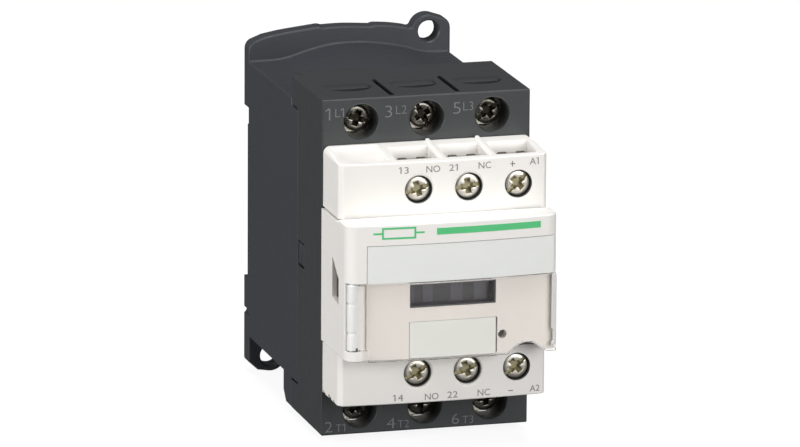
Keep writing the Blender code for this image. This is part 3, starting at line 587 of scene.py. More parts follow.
@dataclass(frozen=True)
class WorkedMetal:
    """Plated or rolled metal with drawn marks, dull patches and a tint of tarnish."""

    name: str
    colour: tuple[float, float, float]
    tarnish: tuple[float, float, float]
    roughness: float
    pitch: float = 0.0           # pitch of stacked sheets or wires in millimetres
    direction: str = "Z"
    stretch: tuple[float, float, float] = (1.0, 1.0, 1.0)
    front: float = 0.0           # depth of a screw head's face, below which the recess is painted darker as shade
    wear: float = 3.0            # height of dents and chips in micrometres

    def sunk(self, g: Graph, start: float, stop: float, values: Pair = (0.0, 1.0)) -> bpy.types.NodeSocket:
        """A pattern that changes with depth below a screw head's face.

        Args:
            g: The material.
            start: Depth at which the change begins.
            stop: Depth at which it ends.
            values: Result above the start and below the stop.

        Returns:
            The pattern.
        """
        height = g.node("ShaderNodeSeparateXYZ", Vector=g.coords).outputs["Y"]
        return g.spread(height, *values, (-(self.front - start) * MM, -(self.front - stop) * MM))

    def make(self) -> bpy.types.Material:
        """Build the material.

        Returns:
            The material.
        """
        g = Graph(self.name)
        patches = g.spread(g.noise(420, 4), 0, 1)
        marks = g.noise(5200, 2, self.stretch)
        colour = g.blend(patches, self.colour, self.tarnish)
        if self.pitch:
            sheets = g.bands(self.pitch, self.direction)
            colour = g.blend(g.spread(sheets, 0.75, 0.0, (0.0, 0.35)), colour,
                             tuple(c * 0.35 for c in self.tarnish))
            g.relief(sheets, 60.0, 0.8)
        metal: bpy.types.NodeSocket | float = 1.0
        if self.front:
            # Painted shade: below the head's face the recess is painted darker olive with less metal, and
            # near black deeper down, standing in for shade there
            recess_shade = tuple(c * k for c, k in zip(self.tarnish, (0.62, 0.60, 0.42)))
            colour = g.blend(self.sunk(g, 0.16, 0.32), colour, recess_shade)
            colour = g.blend(self.sunk(g, 1.5, 2.0), colour, (0.02, 0.018, 0.014))
            metal = self.sunk(g, 0.16, 0.4, (0.9, 0.45))
        g.feed(Base_Color=colour, Metallic=metal,
               Roughness=g.spread(marks, self.roughness - 0.07, self.roughness + 0.13))
        g.relief(marks, 2.0)
        g.relief(g.noise(900, 2), self.wear)
        return g.material


@dataclass(frozen=True)
class PrintedCard:
    """Paper-backed label or screened ink: faint fibres and a soft sheen."""

    name: str
    colour: tuple[float, float, float]
    fleck: tuple[float, float, float]
    roughness: float

    def make(self) -> bpy.types.Material:
        """Build the material.

        Returns:
            The material.
        """
        g = Graph(self.name)
        fibres = g.noise(1500, 3, (0.35, 1.0, 1.0))
        cloud = g.noise(140, 2)
        colour = g.blend(g.spread(fibres, 0, 0.5), self.colour, self.fleck)
        colour = g.blend(g.spread(cloud, 0, 0.5), colour, self.fleck)
        g.feed(Base_Color=colour, Roughness=g.spread(fibres, self.roughness, self.roughness + 0.08))
        g.relief(fibres, 2.0)
        return g.material


@dataclass(frozen=True)
class ClearPlastic:
    """Clear polycarbonate that lets lamps through, with faint moulding waves."""

    name: str
    colour: tuple[float, float, float]
    roughness: float

    def make(self) -> bpy.types.Material:
        """Build the material.

        Returns:
            The material.
        """
        g = Graph(self.name)
        wave = g.noise(160, 2)
        g.feed(Base_Color=g.blend(g.spread(wave, 0, 1), self.colour,
                                  tuple(min(1.0, c * 1.02) for c in self.colour)),
               Transmission_Weight=1.0, IOR=1.35,
               Roughness=g.spread(g.noise(700, 3), self.roughness, self.roughness + 0.05))
        g.relief(wave, 8.0)
        clear = g.node("ShaderNodeBsdfTransparent", Color=(*self.colour, 1.0))
        path, seen = g.node("ShaderNodeLightPath"), g.shader.outputs[0]
        for ray in ("Is Diffuse Ray", "Is Shadow Ray"):      # lamps light what lies behind it, once
            mix = g.node("ShaderNodeMixShader")
            g.tree.links.new(path.outputs[ray], mix.inputs[0])
            g.tree.links.new(seen, mix.inputs[1])
            g.tree.links.new(clear.outputs[0], mix.inputs[2])
            seen = mix.outputs[0]
        g.tree.links.new(seen, g.tree.nodes["Material Output"].inputs["Surface"])
        return g.material


class Finishes(Enum):
    """The finishes of this contactor."""

    BASE = MouldedPlastic("base_polyamide", (0.034, 0.036, 0.043), (0.037, 0.039, 0.046),
                          (0.085, 0.086, 0.098), 0.46, 4.0, 0.4)
    CHARCOAL = MouldedPlastic("charcoal_polyamide", (0.028, 0.0305, 0.032), (0.031, 0.0335, 0.035),
                              (0.090, 0.094, 0.100), 0.42, 4.0)
    WHITE = MouldedPlastic("white_polycarbonate", (0.85, 0.825, 0.785), (0.87, 0.845, 0.81),
                           (0.95, 0.94, 0.93), 0.42, 4.0, 0.45, 0.12)
    CARRIER = MouldedPlastic("carrier_polyamide", (0.010, 0.010, 0.012), (0.016, 0.016, 0.019),
                             (0.05, 0.05, 0.055), 0.42, 6.0)
    BAND = MouldedPlastic("indicator_band", (0.044, 0.044, 0.054), (0.054, 0.054, 0.066),
                          (0.10, 0.10, 0.12), 0.42, 4.0)
    NYLON = MouldedPlastic("bobbin_nylon", (0.60, 0.58, 0.52), (0.66, 0.64, 0.58),
                           (0.75, 0.74, 0.70), 0.42, 5.0, 0.5, 0.1)
    RUBBER = MouldedPlastic("cushion_rubber", (0.018, 0.018, 0.018), (0.028, 0.028, 0.028),
                            (0.05, 0.05, 0.05), 0.78, 14.0)
    CARD = PrintedCard("label_card", (0.80, 0.81, 0.78), (0.83, 0.84, 0.81), 0.42)
    RATING = PrintedCard("rating_card", (0.82, 0.86, 0.83), (0.84, 0.88, 0.85), 0.42)
    GREY_INK = PrintedCard("grey_ink", (0.19, 0.185, 0.18), (0.23, 0.225, 0.22), 0.45)
    GREEN_INK = PrintedCard("green_ink", (0.075, 0.53, 0.19), (0.095, 0.58, 0.22), 0.38)
    RELIEF = MouldedPlastic("moulded_marking", (0.135, 0.140, 0.152), (0.165, 0.170, 0.182),
                            (0.21, 0.21, 0.22), 0.40, 5.0)
    CLEAR = ClearPlastic("clear_polycarbonate", (0.972, 0.957, 0.945), 0.03)
    PLATED = WorkedMetal("plated_steel", (0.66, 0.63, 0.55), (0.50, 0.47, 0.37), 0.26)
    AUX_HEAD = WorkedMetal("nickel_screw", (0.72, 0.69, 0.63), (0.60, 0.56, 0.48), 0.36, 0.0, "Z",
                           (1.0, 1.0, 1.0), 76.8)
    # Painted shade: the power screw heads are far darker than the auxiliary ones, standing in for the dark
    # wells they sit in and reflect
    POWER_HEAD = WorkedMetal("shade_darkened_screw", (0.22, 0.21, 0.185), (0.045, 0.042, 0.032), 0.16, 0.0, "Z",
                             (1.0, 1.0, 1.0), 60.6, 30.0)
    YOKE = WorkedMetal("dull_steel", (0.26, 0.22, 0.18), (0.17, 0.14, 0.11), 0.45)
    PHENOLIC = MouldedPlastic("brown_phenolic", (0.060, 0.042, 0.026), (0.045, 0.030, 0.018),
                              (0.11, 0.085, 0.055), 0.5, 6.0)
    REVEAL = MouldedPlastic("window_reveal", (0.030, 0.030, 0.033), (0.026, 0.026, 0.029),
                            (0.06, 0.06, 0.066), 0.45, 4.0)
    SLEEVE = MouldedPlastic("milky_polycarbonate", (0.87, 0.865, 0.845), (0.84, 0.835, 0.815),
                           (0.93, 0.93, 0.92), 0.24, 3.0, 0.5, 0.2)
    # grey: the flap's frosted pull edge, and the painted shade on the scoop's wall
    FROST_AND_SHADE = MouldedPlastic("frosted_edge_and_shade", (0.70, 0.69, 0.68), (0.66, 0.65, 0.64),
                           (0.80, 0.79, 0.78), 0.5, 5.0, 0.5, 0.1)
    SPRING = WorkedMetal("spring_steel", (0.58, 0.58, 0.60), (0.44, 0.44, 0.46), 0.24)
    COPPER = WorkedMetal("tinned_copper", (0.74, 0.60, 0.48), (0.62, 0.44, 0.32), 0.30, 0.0, "Z",
                         (1.0, 1.0, 0.15))
    STEEL = WorkedMetal("silicon_steel", (0.40, 0.40, 0.41), (0.27, 0.27, 0.29), 0.36, 0.5, "Z")
    RING = WorkedMetal("shading_copper", (0.80, 0.45, 0.28), (0.58, 0.28, 0.16), 0.28)
    WIRE = WorkedMetal("enamelled_copper", (0.60, 0.22, 0.08), (0.42, 0.13, 0.05), 0.26, 0.28, "Y")


MADE: dict[Finishes, bpy.types.Material] = {}


def dressed(finish: Finishes) -> bpy.types.Material:
    """Build a finish's material the first time it is asked for.

    Args:
        finish: The finish.

    Returns:
        Its material.
    """
    if finish not in MADE:
        MADE[finish] = finish.value.make()
    return MADE[finish]


def piece(name: str, form: Form, finish: Finishes, body: str | None, replaces: Sequence[str] = (),
          smooth: float = 35.0, weighted: bool = True) -> bpy.types.Object:
    """Make a finished piece of a form.

    Args:
        name: The piece's name.
        form: Its shape in millimetres.
        finish: Its finish.
        body: The frame body it moves with, or None for a piece that is attached to no body.
        replaces: Frame nodes it stands for.
        smooth: Edges that turn by less than this, in degrees, are shaded smooth.
        weighted: Whether large flat faces keep a flat shade.

    Returns:
        The piece's object, at the origin with its place in its mesh.
    """
    bmesh.ops.scale(form.bm, vec=(MM,) * 3, verts=form.bm.verts)
    mesh = bpy.data.meshes.new(name)
    form.bm.to_mesh(mesh)
    form.bm.free()
    mesh.materials.append(dressed(finish))
    mesh.shade_smooth()
    mesh.set_sharp_from_angle(angle=math.radians(smooth))
    obj = bpy.data.objects.new(name, mesh)
    bpy.context.scene.collection.objects.link(obj)
    if weighted:
        flat = obj.modifiers.new("flats", "WEIGHTED_NORMAL")
        flat.keep_sharp, flat.weight = True, 100
    if body:
        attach(obj, body)
    if replaces:
        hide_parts(*replaces)
    LOG.info("%s: %d faces on %s", name, len(mesh.polygons), body)
    return obj


# Frame-wide sizes, read from the frame or shared by several sub-assemblies
BLOCK = Place.of("contact_block")
HOUSE = Place.of("terminal_housing")
COVER = Place.of("front_cover")
BASE = Place.of("mounting_base")
HALF = BLOCK.x[1]
TOP = BLOCK.z[1]
BLOCK_FACE = BLOCK.depth[1]
WHITE_HALF = HOUSE.x[1]
LABEL_BULGE, COVER_BULGE = 0.9, 1.3
LABEL_FACE = HOUSE.depth[1] - LABEL_BULGE
COVER_FACE = COVER.depth[1] - COVER_BULGE
COVER_HALF = COVER.x[1]
POLES = [Place.of(f"line_screw_{i}").centre[0] for i in (1, 2, 3)]
POWER_Z = Place.of("line_screw_1").centre[1]
AUX_MARKS = (("13", "14"), ("21", "22"), ("a1", "a2"))
AUX_X = [Place.of(f"terminal_screw_{pair[0]}").centre[0] for pair in AUX_MARKS]
AUX_Z = [Place.of("terminal_screw_13").centre[1], Place.of("terminal_screw_14").centre[1]]
BAR = Place.of("line_contact_1").depth[0]
CLAMP = Place.of("line_clamp_1").depth
CARRIER_WAY = (about(POLES[1], 18.8), about(0, 5.2))     # x and z of the opening that the carrier moves in
AUX_WAY = (about(AUX_X[1], 2.7), about(0, 8.7))          # the same for the auxiliary bridges
LEAD_WAY = (about(19.75, 0.7), (17.0, 21.6))             # the same for the coil's leads, mirrored below


def bulge(x: float, face: float, rise: float, half: float) -> float:
    """Depth of a gently convex face at one x."""
    return face + rise * (1 - (x / half) ** 2)


def front_line(x: Pair, face: float, rise: float, half: float, steps: int = 24) -> Outline:
    """Points along a convex face from one x to another."""
    places = [x[0] + (x[1] - x[0]) * i / steps for i in range(steps + 1)]
    return [(a, bulge(a, face, rise, half)) for a in places]


@dataclass
class MountingBase:
    """Rear housing: plate with two ears, rail channel, arched roof, foot and the magnet chamber."""

    plate: float = 4.1
    ear_hole: float = 2.3
    ear_up: Pair = (17.6, 36.0)
    ear_low: Pair = (-17.5, -34.0)
    rail: Pair = (-16.6, 21.3)
    recess: float = 3.3
    bottom: float = -29.6
    shoulder: float = 31.3
    crown: float = 34.3
    wall: float = 1.6
    corner_face: float = 39.3
    foot_back: float = 33.2
    clip_half: float = 6.0
    edge: float = 0.45
    right_corner: Pair = (2.5, 3.2)      # radius, and drop of its middle below the upper ear's top
    left_corner: float = 2.2
    crest_by_ear: tuple[Pair, ...] = ((13.3, 36.95), (12.2, 37.25), (9.0, 37.75), (5.6, 38.0))
    crest_middle: tuple[Pair, ...] = ((5.2, 37.7), (-1.0, 38.1), (-6.0, 38.0))
    crest_left: tuple[Pair, ...] = ((-6.4, 38.3), (-10.0, 37.9), (-15.0, 37.3), (-18.9, 36.6))
    notch_z: float = -24.2
    hook_half: float = 8.0
    hook_drop: float = 2.3
    pad_x: float = 13.5
    pad_half: float = 4.2
    pads_z: tuple[Pair, ...] = ((23.6, 29.6), (-27.0, -19.6))
    spring_stop: Pair = (-27.4, -25.9)
    latch_z: Pair = (-3.1, 1.5)
    latch_bars: tuple[Pair, ...] = ((0.9, 2.9), (3.3, 4.9))   # depths in front of the seam

    def plate_outline(self) -> Outline:
        """Outline of the mounting plate, from its lower right corner round to its lower left.

        Returns:
            The outline as (x, z).
        """
        top, drop = BASE.z[1], BASE.z[0]
        (ux, uz), (lx, lz) = self.ear_up, self.ear_low
        radius, fall = self.right_corner
        left = -HALF + self.left_corner
        return [(HALF, self.bottom), *arc((HALF - radius, top - fall), radius, 0, 60, 6),
                *arc((ux, uz), top - uz, 75, 165, 14), *smooth_line(self.crest_by_ear, 4),
                *smooth_line(self.crest_middle, 4), *smooth_line(self.crest_left, 5),
                *arc((left, self.shoulder + 2.4), self.left_corner, 105, 180, 8),
                (-HALF, drop + 2.4), (left, drop + 0.4),
                *arc((lx, lz), lz - drop, 255, 350, 12), (-13.0, self.bottom)]

    def build(self) -> Form:
        """Shape the base and its hollow.

        Returns:
            The base.
        """
        base = Form.prism(self.plate_outline(), Axis.Y, 0, self.plate)
        roof = [(-HALF, self.bottom), (HALF, self.bottom),
                *smooth_line([(HALF, self.shoulder - 0.1), (16.5, self.shoulder + 0.1), (11.9, 32.7),
                              (7.0, 33.7), (1.5, self.crown), (-4.0, 34.15), (-9.0, 33.2),
                              (-15.3, self.shoulder + 0.2), (-HALF, self.shoulder)], 5)]
        foot = [(self.foot_back, self.bottom + 1), (self.foot_back, -TOP + 2.4),
                (self.foot_back + 2.2, -TOP), (self.corner_face, -TOP),
                (self.corner_face, self.bottom + 1)]
        front = BASE.depth[1]
        base.join(Form.prism(roof, Axis.Y, self.plate - 0.6, self.corner_face),
                  Form.block(about(0, HALF), (self.corner_face - 1, front), about(0, -self.bottom)),
                  Form.prism(foot, Axis.X, -HALF, HALF))
        base.ease(self.edge, 3, 35, clamp=False)
        inner = HALF - self.wall
        rail_top = self.rail[1]
        base.cut(
            *[Form.lathe([(0, -OVER), (self.ear_hole, -OVER), (self.ear_hole, self.plate - 0.3),
                          (self.ear_hole + 0.3, self.plate), (self.ear_hole + 0.3, self.plate + 9),
                          (0, self.plate + 9)], ear) for ear in (self.ear_up, self.ear_low)],
            Form.block(about(0, inner), (5.2, front + OVER), (self.bottom + self.wall, self.shoulder - 1.9)),
            Form.block(about(0, inner), (self.foot_back + self.wall, front + OVER),
                       (-TOP + 1.8, self.bottom + 3)),
            Form.block(about(0, HALF + OVER), (-OVER, self.recess), self.rail),
            Form.block(about(0, HALF + OVER), (-OVER, self.recess + 0.8), (rail_top - 3.7, rail_top)),
            Form.block(about(0, self.clip_half + GAP), (0.95, self.recess),
                       (self.bottom - OVER, self.rail[0] + 1)),
            Form.block(about(0, self.clip_half - 1), (-OVER, 1.5), (self.bottom - OVER, self.rail[0] + 1)),
            *[Form.rod((side * (HALF + 0.1), self.notch_z), (-1, 5), 0.75, Axis.Y, 24) for side in (-1, 1)],
            *[Form.block(about(x, self.pad_half), (-1, 1.5), z, 0.5) for x in (-self.pad_x, self.pad_x)
              for z in self.pads_z])
        hook = Form.block(about(0, self.hook_half), (0.2, 1.9),
                          (rail_top - self.hook_drop, rail_top + 1), 0.3)
        return base.join(hook, Form.block(about(0, 1.6), (1.0, self.recess + 0.8), self.spring_stop))

    def dress(self) -> None:
        """Make the base piece and its snap latches."""
        piece("mounting_base_shell", self.build(), Finishes.BASE, "housing", ["mounting_base"])
        seam = BASE.depth[1]
        for side, word in ((-1, "left"), (1, "right")):
            x = sorted((side * (HALF - 0.9), side * (HALF - 0.12)))
            bars = [Form.block(x, (seam + back, seam + front), self.latch_z, 0.15)
                    for back, front in self.latch_bars]
            piece(f"snap_latch_{word}", bars[0].add(*bars[1:]), Finishes.BASE, "housing")


@dataclass
class ContactBlock:
    """Dark middle housing with the power terminals' wells, wire funnels and pole slots."""

    well: float = 3.65
    bar_half: float = 3.9
    chamber_half: float = 6.4
    chamber_height: float = 13.0
    corner_face: float = 39.3
    base_bottom: float = 29.6
    lip_back: float = 36.0
    crown: float = 34.3
    seam: float = 44.8
    edge: float = 0.32
    mouth_half: float = 5.0
    mouth_back: float = 53.0
    funnel_back: float = 54.5
    bow: Pair = (51.7, 5.7)              # middle depth and radius of the mouth's curved front
    clamp_travel: float = 3.0
    tip_hole: float = 2.15
    pole_slot: Pair = (47.1, 62.9)
    foot_gap: Pair = (-0.1, 0.75)        # depths of the dark line at the base's foot

    def side_outline(self) -> Outline:
        """Outline of the block from the side: its corners reach back over and under the base.

        Returns:
            The outline as (depth, z).
        """
        back, low = self.corner_face + GAP, self.base_bottom + GAP
        return [(BLOCK_FACE, -TOP), (BLOCK_FACE, TOP), (back, TOP), (back, low + 1.6),
                *arc((back + 1.6, low + 1.6), 1.6, 180, 270, 5),
                *arc((self.seam - 1.2, low - 1.2), 1.2, 90, 0, 5),
                (self.seam, -low), (back, -low), (back, -TOP)]

    def pole(self, x: float, sign: int) -> list[Form]:
        """Cutters of one power terminal: pocket, mouth, funnel, screw well and tip hole.

        Args:
            x: Middle of the pole.
            sign: One for the upper terminal, minus one for the lower.

        Returns:
            The cutters.
        """
        wide, face = self.bar_half + 0.4, BLOCK_FACE
        bar_front = BAR + 1.5
        wall = bar_front + 0.3
        low, roof = POWER_Z - 5, TOP - 2.1
        left, right = about(x, self.mouth_half)
        funnel = [(wall - 3.8, TOP + 1), (wall, TOP - 0.65), (wall, TOP - 1.7), (bar_front, roof),
                  (bar_front, TOP - 3.4), (self.funnel_back, TOP - 3.4), (self.funnel_back, TOP + 1)]
        plan = [(left, self.mouth_back), (right, self.mouth_back),
                *arc((x, self.bow[0]), self.bow[1], 28, 152, 16)]
        well = [(0, CLAMP[0]), (self.well, CLAMP[0]), (self.well, face - 0.35),
                (self.well + 0.08, face - 0.15), (self.well + 0.22, face + 0.05),
                (self.well + 0.22, face + OVER), (0, face + OVER)]
        clamp_way = (CLAMP[0] - self.clamp_travel - GAP, CLAMP[1] + 0.2)
        return [Form.block(about(x, self.bar_half - 0.6), (BAR - GAP, bar_front + 0.6),
                           signed(sign, self.chamber_height - 1, POWER_Z - 3)),
                Form.block(about(x, wide), (BAR - GAP, CLAMP[1] + 0.2), signed(sign, low, roof)),
                Form.block(about(x, wide), (BAR - GAP, bar_front + 0.1), signed(sign, low, POWER_Z + 4)),
                Form.block(about(x, wide), clamp_way, signed(sign, low, TOP - 1.25)),
                Form.prism([(depth, sign * z) for depth, z in funnel], Axis.X, left, right),
                Form.prism(plan, Axis.Z, *signed(sign, TOP - 2.4, TOP + 0.5)),
                Form.lathe(well, (x, sign * POWER_Z)),
                Form.rod((x, sign * POWER_Z), (BAR - 6.8, BAR), self.tip_hole)]

    def build(self) -> Form:
        """Shape the block with its rounded edges, then open its chambers and wells.

        Returns:
            The block.
        """
        block = Form.prism(self.side_outline(), Axis.X, -HALF, HALF)
        block.join(Form.block((-HALF + 2.5, HALF), (self.lip_back, self.corner_face + 2),
                              (self.crown + GAP, TOP)))
        block.ease(self.edge, 3, 40, clamp=False)
        seam, face = self.seam, BLOCK_FACE
        cuts = [Form.block(about(POLES[1], 19.0), (seam - OVER, BAR), CARRIER_WAY[1]),
                Form.block(about(0, 5.2), (seam - OVER, seam + 2.6), about(0, 15.2)),
                Form.block(CARRIER_WAY[0], (57.0, face + OVER), CARRIER_WAY[1]),
                Form.block(AUX_WAY[0], (face - 0.8, face + OVER), AUX_WAY[1])]
        for x in POLES:
            cuts.append(Form.block(about(x, self.chamber_half), (BAR - GAP, face - 2.3),
                                   about(0, self.chamber_height)))
            cuts += [*self.pole(x, 1), *self.pole(x, -1)]
        for sign in (1, -1):
            cuts += [Form.block(about((a + b) / 2, 0.6), self.pole_slot,
                                signed(sign, TOP - 4, TOP + OVER), 0.2) for a, b in zip(POLES, POLES[1:])]
            cuts.append(Form.block(LEAD_WAY[0], (seam - OVER, face + OVER), signed(sign, *LEAD_WAY[1])))
        cuts += [Form.block(sorted((side * (HALF - 1.0), side * (HALF + 1))), (seam - 0.3, seam + 5.3),
                            (-3.6, 2.0)) for side in (-1, 1)]
        line = (self.corner_face + self.foot_gap[0], self.corner_face + self.foot_gap[1])
        cuts += [Form.block(sorted((side * (HALF - 0.5), side * (HALF + 1))), line, signed(z, 29.5, TOP + 1))
                 for side in (-1, 1) for z in (-1, 1)]
        return block.cut(*cuts)

    def markings(self) -> list[tuple[str, float, float, float]]:
        """Moulded terminal numbers.

        Returns:
            Each text with its left x, bottom z and height.
        """
        rows = []
        for i, (x, step, gap) in enumerate(((-21.5, -0.2, 1.8), (-8.95, 0.75, 2.35), (5.75, 0.2, 2.2))):
            upper, lower = 31.65 - 0.05 * i, -35.35
            rows += [(str(2 * i + 1), x, upper, 2.7), (f"L{i + 1}", x + gap, upper + 0.6, 1.95),
                     (str(2 * i + 2), x + step, lower, 2.45), (f"T{i + 1}", x + step + 2.35, lower, 1.75)]
        return rows

    def dress(self) -> None:
        """Make the block and its markings."""
        piece("contact_block_shell", self.build(), Finishes.CHARCOAL, "housing", ["contact_block"])
        marking("power_terminal_markings", self.markings(), Finishes.RELIEF, lambda x: BLOCK_FACE, 0.07,
                0.016)
        lip = [(self.well + 0.08, BLOCK_FACE - 0.14), (self.well + 0.30, BLOCK_FACE - 0.14),
               (self.well + 0.30, BLOCK_FACE + 0.03), (self.well + 0.20, BLOCK_FACE + 0.06),
               (self.well + 0.08, BLOCK_FACE - 0.14)]
        rims = [Form.lathe(lip, (x, z)) for x in POLES for z in (POWER_Z, -POWER_Z)]
        piece("screw_well_rims", rims[0].add(*rims[1:]), Finishes.CHARCOAL, "housing")


def strokes(word: bmesh.types.BMesh) -> list[Pair]:
    """Find the x span of every separate part of a word.

    Args:
        word: The word's flat or pulled outline.

    Returns:
        The spans from left to right.
    """
    spans: list[Pair] = []
    waiting = set(word.verts)
    while waiting:
        edge, part = [waiting.pop()], []
        while edge:
            vert = edge.pop()
            part.append(vert.co.x)
            near = {e.other_vert(vert) for e in vert.link_edges} & waiting
            waiting -= near
            edge += near
        spans.append((min(part), max(part)))
    return sorted(spans)


def marking(name: str, rows: Iterable[tuple[str, float, float, float]], finish: Finishes,
            face: Callable[[float], float], rise: float, thin: float = 0.0) -> bpy.types.Object:
    """Raised or printed characters on a face that looks forward.

    Args:
        name: The piece's name.
        rows: Each text with its left x, its bottom z and the height of its capitals.
        finish: The characters' finish.
        face: Depth of the surface at one x.
        rise: How far the characters stand out of the surface.
        thin: How much the strokes are thinned, as a share of the letter size.

    Returns:
        The piece.
    """
    capital = 0.729                  # height of a capital in the built-in face, as a share of its size
    form = Form(bmesh.new())
    for text, left, bottom, height in rows:
        curve = bpy.data.curves.new("work", "FONT")
        curve.body, curve.size, curve.extrude = text, height / capital, 0.5
        curve.offset, curve.resolution_u = -thin * curve.size, 4
        obj = bpy.data.objects.new("work", curve)
        bpy.context.scene.collection.objects.link(obj)
        bpy.context.view_layer.update()
        mesh = bpy.data.meshes.new_from_object(obj.evaluated_get(bpy.context.evaluated_depsgraph_get()))
        bpy.data.curves.remove(curve)
        word = bmesh.new()
        word.from_mesh(mesh)
        bmesh.ops.remove_doubles(word, verts=word.verts, dist=1e-4)
        start, spread = min(v.co.x for v in word.verts), 1.22 if text.isdigit() else 1.0
        flag = 0.26 * height         # the built-in one is a plain bar, so it is given its flag
        shift = left + (0.6 * flag if text[0] == "1" else 0.0)
        ones = [stroke for stroke in strokes(word) if stroke[1] - stroke[0] < 0.25 * height]
        for low, _ in ones if "1" in text else []:
            x = shift + (low - start) * spread + 0.02
            form.add(Form.prism([(x, bottom + height), (x - flag, bottom + 0.80 * height),
                                 (x - flag, bottom + 0.69 * height), (x, bottom + 0.86 * height)],
                                Axis.Y, face(x) - 0.12, face(x) + rise))
        for v in word.verts:
            x = shift + (v.co.x - start) * spread
            front = rise if v.co.z > 0 else -0.12
            v.co = Axis.Y.place(x, bottom + v.co.y, face(x) + front)
        bmesh.ops.recalc_face_normals(word, faces=word.faces)
        form.add(Form(word))
        bpy.data.meshes.remove(mesh)
    return piece(name, form, finish, "housing", weighted=False)


def label_face(x: float) -> float:
    """Depth of the terminal housing's face at one x."""
    return bulge(x, LABEL_FACE, LABEL_BULGE, WHITE_HALF)


